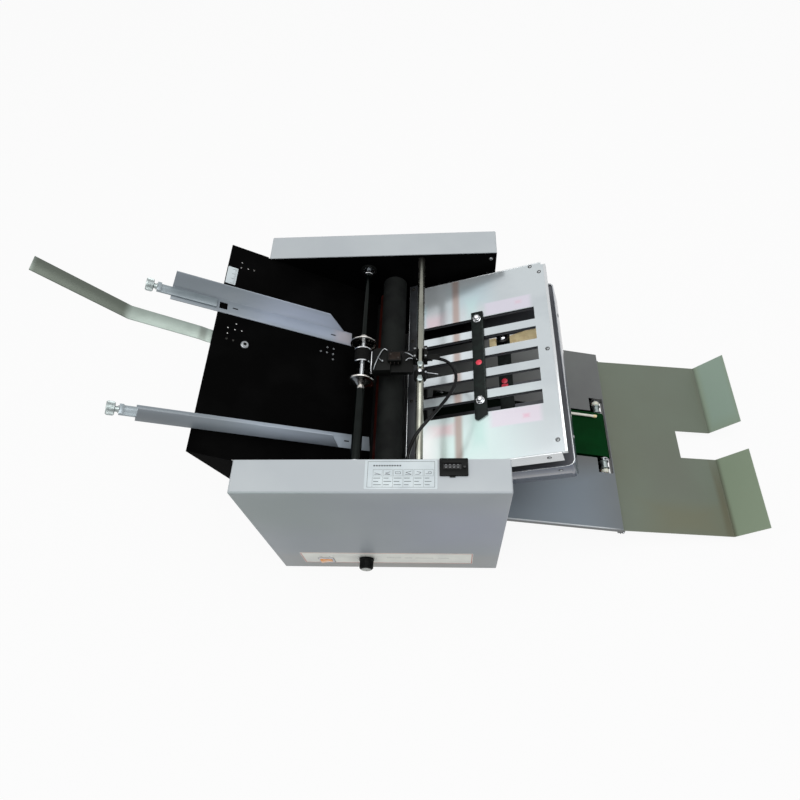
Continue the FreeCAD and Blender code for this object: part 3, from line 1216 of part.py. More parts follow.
def belt_shape(inner, outer):
    solids = []
    tools = []
    start, long = size("-belt_half"), size("2*belt_half")
    for kind, radius, made, more in (("outer", outer, solids, 0), ("inner", inner, tools, 1)):
        low = start - more * size("overrun")
        for along in (IDLE, DRIVE):
            end = doc.addObject("Part::Cylinder", "belt_%s_end" % kind)
            end.setExpression("Radius", bound(radius))
            end.setExpression("Height", bound("2*belt_half + %d*2*overrun" % more))
            end.Placement = FreeCAD.Placement(
                FreeCAD.Vector(size(along[0]), low, size(along[1])),
                FreeCAD.Rotation(FreeCAD.Vector(1, 0, 0), -90))
            made.append(end)
        middle = doc.addObject("Part::Box", "belt_%s_middle" % kind)
        middle.setExpression("Length", bound("%s - %s" % (IDLE_ALONG, DRIVE_ALONG)))
        middle.setExpression("Width", bound("2*belt_half + %d*2*overrun" % more))
        middle.setExpression("Height", bound("2*" + radius))
        tilt = FreeCAD.Rotation(FreeCAD.Vector(0, 1, 0), size("delivery_slope"))
        corner = FreeCAD.Vector(size(DRIVE[0]), low, size(DRIVE[1]))
        drop = tilt.multVec(FreeCAD.Vector(0, 0, -size(radius)))
        middle.Placement = FreeCAD.Placement(corner + drop, tilt)
        made.append(middle)
    return cut("delivery_belt", join("belt_outer", solids), join("belt_inner", tools))


# Tray hinged under the delivery table's edge

def make_tray():
    path = [("tray_tip_x", "tray_tip_z"), ("tray_bend_x", "tray_bend_z"),
            ("hinge_x", "hinge_z + barrel_radius")]
    floor = bent_sheet("tray_sheet", path, "tray_wall", "-tray_half", "tray_half")
    barrel = rod("tray_barrel", "barrel_radius", "-tray_half", "tray_half", "hinge_x", "0",
                 "hinge_z")
    bore = rod("tray_bore", "hinge_radius + running_gap", "-tray_half - overrun",
               "tray_half + overrun", "hinge_x", "0", "hinge_z")
    notch = slab("tray_notch", "XY",
                 rectangle("notch_from", "tray_tip_x + notch_half", "-notch_half", "notch_half"),
                 "-tray_tip_z", "3*tray_tip_z")
    whole = join("tray_whole", [floor, barrel])
    keep("delivery_tray", cut("delivery_tray", whole, join("tray_cuts", [bore, notch])))


# Switch, speed knob, counter and power inlet

def make_controls():
    face = "-cover_out"
    bezel = new_body("switch_bezel")
    open_long, open_high = "(switch_long - 3*switch_rim)", "(switch_high - 3*switch_rim)"
    hole = around("switch_x", "switch_z", open_long, open_high)
    add_slab(bezel, "XZ", around("switch_x", "switch_z", "switch_long", "switch_high"),
             face + " - switch_proud", "switch_proud", [hole])
    neck_long = "(switch_long - 2*switch_rim - seat_gap)"
    neck_high = "(switch_high - 2*switch_rim - seat_gap)"
    add_slab(bezel, "XZ", around("switch_x", "switch_z", neck_long, neck_high), face,
             "switch_deep")
    cut_slab(bezel, "XZ", face + " - overrun", "switch_deep*0.6 + overrun", [hole])
    keep("switch_bezel", bezel)
    half = "(%s/2 - 2*seat_gap)" % open_long
    tilt_out = "(%s - switch_proud)" % face
    side = [("-0.7*" + half, "rocker_deep"), ("-" + half, "0.15*rocker_deep"),
            ("-" + half, "-rocker_proud"), ("0", "-0.25*rocker_proud"), (half, "0"),
            (half, "0.15*rocker_deep"), ("0.7*" + half, "rocker_deep")]
    rocker = slab("switch_rocker", "XY", side, "-%s/2 + seat_gap" % open_high,
                  "%s - 2*seat_gap" % open_high)
    rocker.setExpression("Placement.Base.x", bound("switch_x"))
    rocker.setExpression("Placement.Base.y", bound(tilt_out))
    rocker.setExpression("Placement.Base.z", bound("switch_z"))
    keep("switch_rocker", rocker)
    near = "-knob_gap"
    knob = [("0", "-knob_gap - knob_long"), ("0.8*knob_radius", "-knob_gap - knob_long"),
            ("0.88*knob_radius", "-knob_gap - 0.93*knob_long"),
            ("knob_radius", "-knob_gap - 0.15*knob_long"), ("knob_radius", near),
            ("knob_shaft_radius", near),
            ("knob_shaft_radius", "cover_wall + 2*seat_gap"), ("0", "cover_wall + 2*seat_gap")]
    keep("speed_knob", turned("speed_knob", knob, "knob_x", face, "knob_z"))
    counter = new_body("counter")
    top = around("counter_x", "-counter_side", "counter_long", "counter_wide")
    button_x = "(counter_x + counter_long/2 - button_in)"
    socket = (button_x, "-counter_side", "button_radius + seat_gap")
    add_slab(counter, "XY", top, "box_high", "counter_proud", holes=[socket])
    neck = around("counter_x", "-counter_side", "counter_long - 2*counter_neck - seat_gap",
                  "counter_wide - 2*counter_neck - seat_gap")
    add_slab(counter, "XY", neck, "box_high - counter_deep", "counter_deep", holes=[])
    keep("counter", counter)
    keep("counter_button", rod("counter_button", "button_radius",
                               "button_travel + seat_gap", "counter_proud + button_proud",
                               button_x, "-counter_side", "box_high", "Z"))
    make_inlet()


def make_inlet():
    back = "cover_out"
    body = new_body("inlet_body")
    centre = ("inlet_x", "inlet_z")
    socket = around(centre[0], centre[1], "socket_long", "socket_high")
    add_slab(body, "XZ", around(centre[0], centre[1], "inlet_long", "inlet_high"), back,
             "inlet_rim")
    add_slab(body, "XZ", around(centre[0], centre[1], "inlet_neck_long - seat_gap",
                                "inlet_neck_high - seat_gap"),
             back + " - inlet_deep", "inlet_deep")
    cut_slab(body, "XZ", back + " + inlet_rim - socket_deep", "socket_deep + overrun", [socket])
    floor = back + " + inlet_rim - socket_deep"
    blades = [body]
    for number, (x, z) in enumerate((("-blade_pitch", "blade_rise/2"),
                                     ("0", "blade_rise*2"), ("blade_pitch", "blade_rise/2"))):
        blades.append(slab("inlet_blade_%d" % number, "XZ",
                           around("inlet_x + " + x, "inlet_z + " + z, "blade_wide",
                                  "blade_high"), floor, "blade_long"))
    keep("power_inlet", group("power_inlet", blades))


def check_and_write():
    doc.recompute()
    for thing in doc.Objects:
        if "Invalid" in thing.State or "Error" in thing.State:
            raise RuntimeError("%s is not sound: %s" % (thing.Name, thing.State))
    for piece in pieces:
        if piece.Shape.isNull() or not piece.Shape.isValid():
            raise RuntimeError("%s has no sound shape" % piece.Label)
    for piece in pieces:
        if piece.Label[-1].isdigit() and not piece.Label[-2] == "_":
            raise RuntimeError("%s shares its name" % piece.Label)
    for piece in pieces:
        piece.Shape.exportStep("parts/%s.step" % piece.Label)
    print(len(pieces), "sub-parts,", sum(len(piece.Shape.Solids) for piece in pieces), "solids")


make_base()
make_side_plates()
cover_heads = make_covers()
make_table()
make_guides()
make_feed()
make_separator()
make_rollers()
make_drive()
make_sensor()
make_upper_plate()
make_lower_plate()
make_stop("upper_stop", plate_frame("upper_x", "upper_z"), "stop_wide", "stop_back",
          "back_nut", "nut_radius", True)
make_stop("lower_stop", plate_frame("lower_x", "lower_z"), "lower_stop_wide",
          "lower_stop_back", "lower_back_nut", "lower_nut_radius", False)
make_left_plates()
make_pegs()
make_screws(cover_heads)
make_delivery()
make_tray()
make_controls()
check_and_write()
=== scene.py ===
import bmesh
import bpy
import json
import math
from mathutils import Matrix, Vector

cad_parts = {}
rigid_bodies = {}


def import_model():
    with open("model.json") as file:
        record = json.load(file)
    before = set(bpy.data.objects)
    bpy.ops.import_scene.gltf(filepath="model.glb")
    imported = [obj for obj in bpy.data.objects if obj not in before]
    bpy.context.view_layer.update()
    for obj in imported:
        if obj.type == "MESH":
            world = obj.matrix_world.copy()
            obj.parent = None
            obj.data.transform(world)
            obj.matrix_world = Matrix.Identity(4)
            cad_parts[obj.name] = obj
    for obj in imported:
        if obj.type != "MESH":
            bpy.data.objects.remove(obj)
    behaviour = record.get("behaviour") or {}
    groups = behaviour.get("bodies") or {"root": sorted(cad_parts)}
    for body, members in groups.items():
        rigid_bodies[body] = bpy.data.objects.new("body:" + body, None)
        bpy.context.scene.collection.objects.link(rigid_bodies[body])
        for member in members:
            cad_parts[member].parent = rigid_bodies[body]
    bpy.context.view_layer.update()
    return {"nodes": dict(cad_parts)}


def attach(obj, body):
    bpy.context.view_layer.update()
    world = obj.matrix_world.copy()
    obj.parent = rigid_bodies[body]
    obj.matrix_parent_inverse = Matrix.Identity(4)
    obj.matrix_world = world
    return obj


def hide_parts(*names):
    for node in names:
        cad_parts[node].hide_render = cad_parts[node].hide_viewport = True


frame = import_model()

# Desk paper folder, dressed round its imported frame.
# Pieces are drawn in millimetres. Places along X are counted from the feed end of
# the side boxes, as in the part's own source, and SET_BACK moves them to the frame.

MM = 0.001
SET_BACK = 200


def spot(x, y, z):
    """A place in millimetres as a place in the frame."""
    return Vector(((x - SET_BACK) * MM, y * MM, z * MM))


def about(axis, degrees):
    return Matrix.Rotation(math.radians(degrees), 4, axis)


def shift(x, y, z):
    return Matrix.Translation((x, y, z))


def square_on(x, y, z, axis="Z"):
    """A matrix for pieces drawn in millimetres about an axis through a place."""
    turn = {"Z": about("X", 0), "Y": about("X", -90), "-Y": about("X", 90),
            "X": about("Y", 90)}[axis]
    return Matrix.Translation(spot(x, y, z)) @ turn @ Matrix.Scale(MM, 4)


def sloped(x, z, slope, side=0, turn=0, along=0, up=0):
    """A matrix for pieces drawn flat, then turned about Z and sloped about Y."""
    return (Matrix.Translation(spot(x, 0, z)) @ about("Y", slope)
            @ Matrix.Translation(Vector((along, side, up)) * MM)
            @ about("Z", turn) @ Matrix.Scale(MM, 4))


# Frames that pieces are drawn in: X runs down the slope, and Z is square to the sheet
TABLE_PLACE = (-56.5, 400.1, 30.81)
PLATE_SLOPE = -17
GUIDE_GAP = 0.3
TABLE = sloped(*TABLE_PLACE)
UPPER = sloped(248, 286.7, PLATE_SLOPE)
LOWER = sloped(255.9, 228.9, PLATE_SLOPE)
DELIVERY = sloped(627.7, 56.3, 15.4)
BACK_GUIDE = sloped(*TABLE_PLACE, side=74, turn=3, along=-75, up=GUIDE_GAP)
FRONT_GUIDE = sloped(*TABLE_PLACE, side=-171, turn=6.5, along=-75, up=GUIDE_GAP)
FLAT = Matrix.Translation(spot(0, 0, 0)) @ Matrix.Scale(MM, 4)

# Faces and centres that several pieces share
BASE = "machine_base"
UP = (0, 0, 1)
SOLE = -12
COVER_TOP, COVER_FRONT = 366, -248
PLATE_FACE = 196.3
FEED_X, FEED_Z = 173.5, 330
BAR_X, BAR_Z = 269.9, 356
KNOB_X, KNOB_Z = 163, 55
COUNTER_Y = -209.5
BOLT_X, BOLT_Y = 51.8, 3
STOP_NUT_X, STOP_NUTS_Y = 121.7, (82.6, -76.9)

# Camera at the photograph's viewing angle

CAMERA_ANGLES = (59.039, -8.2716, -7.6938)
CAMERA_PLACE = (0.10935, -0.57094, 1.16231)


def make_camera():
    pitch, yaw, roll = (math.radians(a) for a in CAMERA_ANGLES)
    ahead = Vector((math.sin(yaw) * math.cos(pitch), math.cos(yaw) * math.cos(pitch),
                    -math.sin(pitch)))
    level = Vector((math.cos(yaw), -math.sin(yaw), 0))
    rise = level.cross(ahead)
    right = level * math.cos(roll) + rise * math.sin(roll)
    up = rise * math.cos(roll) - level * math.sin(roll)
    data = bpy.data.cameras.new("camera")
    data.sensor_width = 36
    data.lens = 27.82
    camera = bpy.data.objects.new("camera", data)
    bpy.context.scene.collection.objects.link(camera)
    turn = Matrix((right, up, -ahead)).transposed().to_4x4()
    camera.matrix_world = Matrix.Translation(CAMERA_PLACE) @ turn
    bpy.context.scene.camera = camera


make_camera()

# Nodes and materials

def linear(code):
    """An sRGB hex colour as the linear colour that a shader takes."""
    parts = [int(code[i:i + 2], 16) / 255 for i in (1, 3, 5)]
    return [c / 12.92 if c <= 0.04045 else ((c + 0.055) / 1.055) ** 2.4 for c in parts] + [1.0]


def add(tree, kind, values=None, **settings):
    """Add a node, with its settings, and with values or links for its inputs.

    A node among the values stands for its first output.
    """
    made = tree.nodes.new(kind)
    for key, value in settings.items():
        setattr(made, key, value)
    for key, value in (values or {}).items():
        if isinstance(value, bpy.types.Node):
            value = value.outputs[0]
        if isinstance(value, bpy.types.NodeSocket):
            tree.links.new(value, made.inputs[key])
        else:
            made.inputs[key].default_value = value
    return made


def math_of(tree, operation, first, second):
    return add(tree, "ShaderNodeMath", {0: first, 1: second}, operation=operation)


def mixed(tree, share, first, second):
    """Two colours mixed. A colour Mix node's sockets go by place, as kinds share names."""
    return add(tree, "ShaderNodeMix", {0: share, 6: first, 7: second}, data_type="RGBA").outputs[2]


def finish(name, colour, worn, rough, grain, depth, patch, stretch=(1, 1, 1), smear=(1, 1, 1),
           share=(0.42, 0.62), rub=None, painted_light_and_stains=(), **constants):
    """A real surface: grain in millimetres with its depth, and patches of a second colour.

    stretch draws the grain out along an axis, as brushing or rolling does, and smear
    does the same for the patches. rub is the colour that edges wear to. Each of
    painted_light_and_stains is a soft-edged box that tints a stain or paints light or shade: its
    frame, centre and half size in millimetres, colour, strength and softness. constants are set on
    the shader's own sockets.
    """
    made = bpy.data.materials.new(name)
    made.use_nodes = True
    tree = made.node_tree
    tree.nodes.clear()
    where = add(tree, "ShaderNodeTexCoord").outputs["Object"]
    fine = add(tree, "ShaderNodeMapping", {"Vector": where, "Scale": stretch})
    grains = add(tree, "ShaderNodeTexNoise", {
        "Vector": fine, "Scale": 1000 / grain, "Detail": 3.0, "Roughness": 0.6})
    wide = add(tree, "ShaderNodeMapping", {"Vector": where, "Scale": smear})
    patches = add(tree, "ShaderNodeTexNoise", {
        "Vector": wide, "Scale": 1000 / patch, "Detail": 4.0, "Roughness": 0.55})
    amount = add(tree, "ShaderNodeMapRange", {
        "Value": patches.outputs["Fac"], "From Min": share[0], "From Max": share[1]})
    tint = mixed(tree, amount, linear(colour), linear(worn))
    for place, centre, half, hue, strength, soft in painted_light_and_stains:
        here = place @ Vector(centre)
        box = add(tree, "ShaderNodeMapping", {
            "Vector": where, "Location": here, "Rotation": place.to_euler(),
            "Scale": Vector(half) * MM}, vector_type="TEXTURE")
        out = add(tree, "ShaderNodeVectorMath", {0: box}, operation="ABSOLUTE")
        split = add(tree, "ShaderNodeSeparateXYZ", {0: out})
        flat = math_of(tree, "MAXIMUM", split, split.outputs[1])
        far = math_of(tree, "MAXIMUM", flat, split.outputs[2])
        mask = add(tree, "ShaderNodeMapRange", {
            "Value": far, "From Min": 1.0, "From Max": 1.0 - soft,
            "To Max": strength}, interpolation_type="SMOOTHSTEP")
        tint = mixed(tree, mask, tint, linear(hue))
    if rub:
        # Edges of real paint thin out and wear within about half a millimetre
        soft_edge = add(tree, "ShaderNodeBevel", {"Radius": 0.7 * MM}, samples=3)
        face = add(tree, "ShaderNodeNewGeometry").outputs["Normal"]
        turn = add(tree, "ShaderNodeVectorMath", {0: soft_edge, 1: face}, operation="DOT_PRODUCT")
        edge = add(tree, "ShaderNodeMapRange", {
            "Value": turn.outputs["Value"], "From Min": 0.985, "From Max": 0.8, "To Max": 0.75})
        broken = math_of(tree, "MULTIPLY", edge, patches.outputs["Fac"])
        tint = mixed(tree, broken, tint, linear(rub))
    gloss = add(tree, "ShaderNodeMapRange", {
        "Value": patches.outputs["Fac"], "From Min": 0.3, "From Max": 0.7,
        "To Min": rough[0], "To Max": rough[1]})
    bump = add(tree, "ShaderNodeBump", {
        "Height": grains.outputs["Fac"], "Strength": 1.0, "Distance": depth * MM})
    shader = add(tree, "ShaderNodeBsdfPrincipled", {
        "Base Color": tint, "Roughness": gloss, "Normal": bump})
    for socket, value in constants.items():
        shader.inputs[socket.replace("_", " ")].default_value = value
    add(tree, "ShaderNodeOutputMaterial", {"Surface": shader})
    return made


DULL = {"Specular_IOR_Level": 0.06}

# Powder coat, baked on: a fine orange peel about 0.8 mm across that blurs reflections. On the
# front face its boxes paint light and shade: darker overall, greener at the left, bluer at the
# right and warmer along the bottom
powder_gray = finish(
    "powder_coat_gray", "#A6ACAF", "#9FA5A9", (0.42, 0.5), 0.8, 0.012, patch=180, rub="#C6C9CC",
    painted_light_and_stains=[(FLAT, (200, COVER_FRONT, 180), (260, 4, 260), "#889096", 0.9, 0.5),
            (FLAT, (40, COVER_FRONT, 300), (170, 4, 150), "#85918F", 0.7, 0.9),
            (FLAT, (340, COVER_FRONT, 220), (150, 4, 150), "#9096A6", 0.7, 0.9),
            (FLAT, (200, COVER_FRONT, 20), (300, 4, 80), "#9B9890", 0.7, 0.9)])
# Matt black powder coat drinks nearly all the light; only worn edges show a little gray
powder_black = finish("powder_coat_black", "#030303", "#060606", (0.55, 0.66), 0.8, 0.02,
                      patch=70, rub="#1C1D1F", Specular_IOR_Level=0.012)
# Satin enamel on sheet steel: smoother than powder coat, with faint rub marks along it. Its boxes
# paint shade darker over each guide's upper end and light paler and bluer over its lower end,
# with a pink patch near the back guide's lower end
enamel_guide = finish(
    "satin_enamel_guide", "#7F878E", "#778087", (0.34, 0.46), 0.5, 0.008, patch=40,
    smear=(0.35, 1, 1), rub="#C2C6CC", painted_light_and_stains=[
        (BACK_GUIDE, (10, 0, 20), (110, 40, 40), "#6C747A", 0.85, 0.9),
        (BACK_GUIDE, (220, 0, 20), (130, 40, 40), "#9FA9BC", 0.85, 0.9),
        (FRONT_GUIDE, (10, 0, 20), (120, 40, 40), "#666D72", 0.85, 0.9),
        (FRONT_GUIDE, (230, 0, 20), (130, 40, 40), "#A3AEBC", 0.85, 0.9),
        (BACK_GUIDE, (292, -13, 0), (26, 20, 4), "#A99D9F", 0.6, 0.9)])
# Delivery table: the same enamel, darker, with painted light paler and bluer over its front half
# and a painted highlight as a pale line along the front fold
enamel_table = finish(
    "satin_enamel_delivery", "#5B5E5D", "#565858", (0.38, 0.5), 0.5, 0.008, patch=120,
    rub="#B9BDC2", painted_light_and_stains=[
        (DELIVERY, (-160, -150, 0), (230, 110, 6), "#6E7983", 0.9, 0.8),
        (DELIVERY, (-226, -192, 0), (232, 1.3, 1.8), "#C3C8CB", 0.9, 0.2)])
# Tray: a greener enamel, with painted light making the end flange lighter and bluer where it turns
# up to the light, painted shade brown-dark along the bend below it, and darker, olive patches on
# its floor
enamel_tray = finish(
    "satin_enamel_tray", "#5F685B", "#5A6052", (0.36, 0.5), 0.5, 0.008, patch=260,
    share=(0.35, 0.7), rub="#A3A99D", painted_light_and_stains=[
        (FLAT, (745, -60, 20), (80, 110, 60), "#5B6055", 0.6, 0.9),
        (FLAT, (760, -160, 20), (120, 50, 60), "#606049", 0.6, 0.9),
        (FLAT, (866, 0, 40), (25, 400, 60), "#85947E", 0.9, 0.25),
        (FLAT, (866, 130, 40), (25, 130, 60), "#879B8E", 0.9, 0.5),
        (FLAT, (836, -130, 8), (13, 140, 20), "#524F3A", 0.7, 0.9),
        (FLAT, (838, 110, 8), (6, 110, 20), "#5C6052", 0.4, 0.9)])
# Gloss enamel, thick and smooth: a dark blue that mirrors the sheet above it
enamel_slate = finish("gloss_enamel_slate", "#4B5568", "#404A5E", (0.16, 0.26), 0.6, 0.006,
                      patch=50, rub="#C9D0DC", Coat_Weight=0.5, Coat_Roughness=0.08)
# Rolled stainless sheet: a mirror blurred a little along the rolling. On the upper plate's top,
# boxes paint reflections and light: pale pools, pink, teal and brown patches and bands, and a
# bright line along its hem
rolled_steel = finish("rolled_stainless", "#CDD0D2", "#C0C4C6", (0.18, 0.3), 0.25, 0.003,
                      stretch=(0.04, 1, 1), patch=110, smear=(0.6, 1, 1), Metallic=0.95)
steel_painted_reflections = finish(
    "rolled_stainless_filmed", "#BFC6C9", "#B4BBBF", (0.16, 0.26), 0.25, 0.003,
    stretch=(0.04, 1, 1), patch=90, smear=(0.6, 1, 1), Metallic=0.6, painted_light_and_stains=[
        (UPPER, (50, 30, 0), (110, 120, 4), "#DCE4E8", 0.85, 0.9),
        (UPPER, (60, -170, 0), (170, 130, 4), "#DCF1EE", 0.95, 0.9),
        (UPPER, (110, 140, 0), (60, 40, 4), "#B4CBD2", 0.6, 0.9),
        (UPPER, (44, 94, 0), (30, 30, 4), "#DCC3CC", 0.75, 0.9),
        (UPPER, (58, -118, 0), (34, 16, 4), "#E3C3C8", 0.8, 0.85),
        (UPPER, (22, 112, 0), (12, 36, 4), "#A9D3DA", 0.6, 0.9),
        (UPPER, (116, -130, 0), (18, 44, 4), "#B4DBD3", 0.5, 0.9),
        (UPPER, (112, 112, 0), (16, 34, 4), "#B9DCDA", 0.45, 0.9),
        (UPPER, (84, 0, 0), (10, 700, 4), "#A99289", 0.8, 0.8),
        (UPPER, (174, 103, 0), (44, 15, 4), "#D4CDDB", 0.7, 0.25),
        (UPPER, (174, -111, 0), (44, 16, 4), "#DCCFDC", 0.7, 0.25),
        (UPPER, (192, 105, 0), (9, 6, 4), "#D5B5C3", 0.5, 0.9),
        (UPPER, (190, -113, 0), (8, 6, 4), "#DDA9BC", 0.6, 0.9),
        (UPPER, (20, -150, 0), (50, 60, 4), "#FFFFFF", 0.9, 0.9),
        (UPPER, (241.5, -2, 0), (2.2, 180, 4), "#F4F5F5", 0.9, 0.3)])
# The second plate's sheets lie in its own shade and show the dark enamel they carry. Their dull
# steel, and the upper plate's underside, are painted dark for that shade, and a box paints
# near-black shade over the half of the second plate nearest its mouth
shaded_steel = finish(
    "rolled_steel_dull", "#595B5F", "#4D4F54", (0.34, 0.46), 0.25, 0.006, stretch=(0.05, 1, 1),
    patch=80, Metallic=0.5, painted_light_and_stains=[(LOWER, (30, 0, -10), (110, 700, 70), "#0C0C0D", 0.95, 0.5)])
# Stainless brushed along its length: a soft sheen, with painted shade darkening it past the bend
# and a smaller patch of painted shade at the joggle
brushed_strip = finish(
    "brushed_stainless", "#9AA69F", "#909B94", (0.34, 0.44), 0.3, 0.01, stretch=(0.05, 1, 1),
    patch=30, Metallic=0.7, painted_light_and_stains=[
        (TABLE, (-190, 30, 40), (72, 80, 80), "#525850", 0.95, 0.2),
        (TABLE, (-14, 3, 0), (9, 20, 6), "#6E746E", 0.75, 0.8)])
# Ground steel: fine rings round each pin spread its highlight into a band
ground_steel = finish("ground_steel", "#B9BCBF", "#A6A9AB", (0.2, 0.32), 0.3, 0.006,
                      stretch=(1, 0.1, 1), patch=25, Metallic=1.0)
# Nickel plate on turned heads: small bright points, a little gray
screw_nickel = finish("nickel_plated_screw", "#9B9FA1", "#84888B", (0.26, 0.4), 0.5, 0.004,
                      patch=6, Metallic=1.0)
# Chrome plate on polished steel: nearly a clean mirror
chrome = finish("chrome_plate", "#D9DBDD", "#CFD1D4", (0.06, 0.14), 0.8, 0.002, patch=20,
                Metallic=1.0)
# Satin nickel on a drawn bar: turning lines round it, and a yellow-gray cast
satin_nickel = finish("satin_nickel_plate", "#8C8D84", "#7C7D74", (0.22, 0.34), 0.3, 0.003,
                      stretch=(1, 0.15, 1), patch=40, Metallic=1.0)
# Zinc plate, passivated: a dull white metal with cloudy patches
zinc_plate = finish("zinc_plate", "#A9ABA6", "#9A9C9A", (0.32, 0.5), 0.7, 0.01, patch=25,
                    Metallic=0.9)
# Zinc plate with a blue passivate, rubbed paler along the edges that slide
zinc_bar = finish("zinc_plate_blue", "#909A9F", "#838D92", (0.3, 0.46), 0.6, 0.008, patch=22,
                  smear=(0.4, 1, 1), rub="#D5D9DA", Metallic=0.5)
# Black oxide on turned steel: nearly black, with one thin highlight along it
black_oxide = finish("black_oxide_steel", "#040A08", "#080F0D", (0.12, 0.2), 0.4, 0.004,
                     stretch=(1, 0.15, 1), patch=30, Metallic=0.75)
# Aluminium spun over a former: bright, with soft rings and a clear rim
spun_aluminium = finish("spun_aluminium", "#CBCAC7", "#B3AFA9", (0.12, 0.2), 0.3, 0.006,
                        patch=16, Metallic=1.0)
# Browned brass: small dark rings that hardly catch the light. The same dark finish paints the
# shadow ring and the pit shade of each screw
dull_brass_and_shadow = finish("dull_brass_eyelet", "#2E2A26", "#1C1917", (0.5, 0.6), 0.3, 0.004, patch=5,
                     Metallic=0.5)
# Enamel over a casting: coarse, dark and a little lumpy
cast_motor = finish("cast_enamel_black", "#1D1F21", "#26282A", (0.4, 0.55), 1.2, 0.04, patch=40,
                    rub="#6A6D70")
# Ground rubber rollers: dull, with the wheel marks of grinding round them
ground_rubber = finish("ground_nitrile_rubber", "#161817", "#101111", (0.58, 0.7), 0.5, 0.03,
                       stretch=(1, 0.2, 1), patch=30, **DULL)
# The red roller's rubber is red, painted down to a deep, dark red for the shade it lies in
red_rubber = finish("ground_red_rubber", "#35100B", "#260B07", (0.5, 0.62), 0.5, 0.03,
                    stretch=(1, 0.2, 1), patch=30, **DULL)
# Rubber moulded to size: even, soft and dull
soft_rubber = finish("moulded_rubber", "#0E0E0E", "#161615", (0.6, 0.75), 0.6, 0.03, patch=20,
                     **DULL)
# Belt fabric under a thin polymer skin: a 1 mm weave that shows as a dull, even green. A box
# paints near-black shade over the belt's upper stretch, under the plates
belt_green = finish(
    "woven_green_belt", "#02280D", "#032E11", (0.46, 0.58), 1.0, 0.06, patch=40,
    Specular_IOR_Level=0.03, painted_light_and_stains=[(DELIVERY, (-300, 0, 0), (170, 80, 90), "#020603", 0.95, 0.3)])
# Moulded nylon: off-white, and light goes a little way into it
nylon_white = finish("moulded_white_nylon", "#D4D2C6", "#C9C6B8", (0.4, 0.5), 0.5, 0.01, patch=12,
                     Subsurface_Weight=0.1)
# ABS moulded in a spark-finished tool: a fine matt grain, gray at rubbed corners
moulded_black = finish("moulded_black_abs", "#070807", "#0C0D0C", (0.4, 0.52), 0.35, 0.015,
                       patch=25, rub="#232525", Specular_IOR_Level=0.09)
# ABS moulded in a polished tool: dark, with small sharp reflections
glossy_black = finish("polished_black_abs", "#060607", "#0A0A0B", (0.12, 0.2), 0.5, 0.002,
                      patch=25, Specular_IOR_Level=0.25)
# Crinkle paint: a coarse wrinkled skin that breaks up every highlight
crinkle_black = finish("crinkle_black_paint", "#0C1110", "#151C1A", (0.5, 0.65), 1.3, 0.1,
                       patch=9, rub="#303B39", Specular_IOR_Level=0.12)
# Moulded amber polycarbonate: a strong orange with some depth under its gloss
amber = finish("amber_polycarbonate", "#EF9A2A", "#E28A1E", (0.18, 0.26), 0.8, 0.004, patch=15,
               Transmission_Weight=0.1, Coat_Weight=0.4)
# A drop of red enamel: bright, flat and slightly domed
red_dot = finish("red_enamel_dot", "#D8364C", "#BE2E40", (0.3, 0.4), 0.5, 0.01, patch=5)
# Solder mask over laminate: an even, smooth green
board_green = finish("solder_mask_green", "#1E5A34", "#184A2B", (0.3, 0.4), 0.7, 0.01, patch=20)
# Shrink sleeve drawn tight on a can: smooth deep blue
sleeve_blue = finish("shrink_sleeve_blue", "#22386B", "#1C2F5C", (0.3, 0.4), 0.7, 0.01, patch=20)
# Enamelled copper wire, wound close: red-brown with fine ridges
wound_copper = finish("enamelled_copper", "#8A4A28", "#7A3F20", (0.3, 0.4), 0.5, 0.08,
                      stretch=(1, 1, 0.1), patch=10, Metallic=0.8)
# Soft vinyl sheath, extruded: black, with a long smooth highlight
vinyl_sheath = finish("soft_vinyl_sheath", "#040405", "#09090A", (0.18, 0.28), 0.5, 0.008,
                      patch=15, Specular_IOR_Level=0.14)
# Printed vinyl under a matt film: a flat pale gray that ink stands out on
vinyl_pale = finish("printed_vinyl_pale", "#BCC5C8", "#B3BCC0", (0.4, 0.5), 0.5, 0.004, patch=40)
# The panel's vinyl faces forward into less light, so its gray is painted light to make up for it
vinyl_panel = finish("printed_vinyl_panel", "#E3E5DD", "#D8DAD4", (0.36, 0.46), 0.5, 0.004,
                     patch=60)
# Printing inks, screened on: flat and dry, with hardly any edge of their own
ink_dark, ink_red, ink_white, ink_gray, ink_panel = (
    finish("printing_ink_" + hue, colour, worn, (0.5, 0.6), 0.5, 0.002, patch)
    for hue, colour, worn, patch in (
        ("dark", "#34373C", "#2C2F34", 20),
        ("red", "#B5645C", "#A6584F", 20),
        ("white", "#6F7173", "#636567", 20),
        ("gray", "#4C5654", "#3E4846", 5),
        ("panel", "#8E908C", "#7F817D", 10)))
# Moulded acetal yellowed by age: a waxy cream
cream_acetal = finish("moulded_cream_acetal", "#E6D5A8", "#D2BC8C", (0.4, 0.5), 0.6, 0.01,
                      patch=12, rub="#E4DCC2")
# Polymer moulded over wire: pale, smooth and a little waxy
pale_polymer = finish("moulded_pale_polymer", "#D9D9CF", "#CDCDC2", (0.36, 0.46), 0.5, 0.006,
                      patch=12)
# Cast zinc under a bright nickel plate: pale, with soft reflections
satin_white_metal = finish("nickel_plated_casting", "#99A3A2", "#7F8988", (0.26, 0.4), 0.6,
                           0.006, patch=6, rub="#E4E7E8", Metallic=0.85)
# Moulded phenolic: a dark brown, smooth and dull
sleeve_brown = finish("moulded_phenolic_brown", "#241D19", "#191411", (0.3, 0.42), 0.4, 0.01,
                      patch=5, **DULL)
# Satin paint on the mouth bar: graphite, a little lighter than the plates' black
mouth_gray = finish("satin_paint_graphite", "#2B2D30", "#1A1B1D", (0.36, 0.48), 0.5, 0.008,
                    patch=40, rub="#5A5D61", Specular_IOR_Level=0.15)
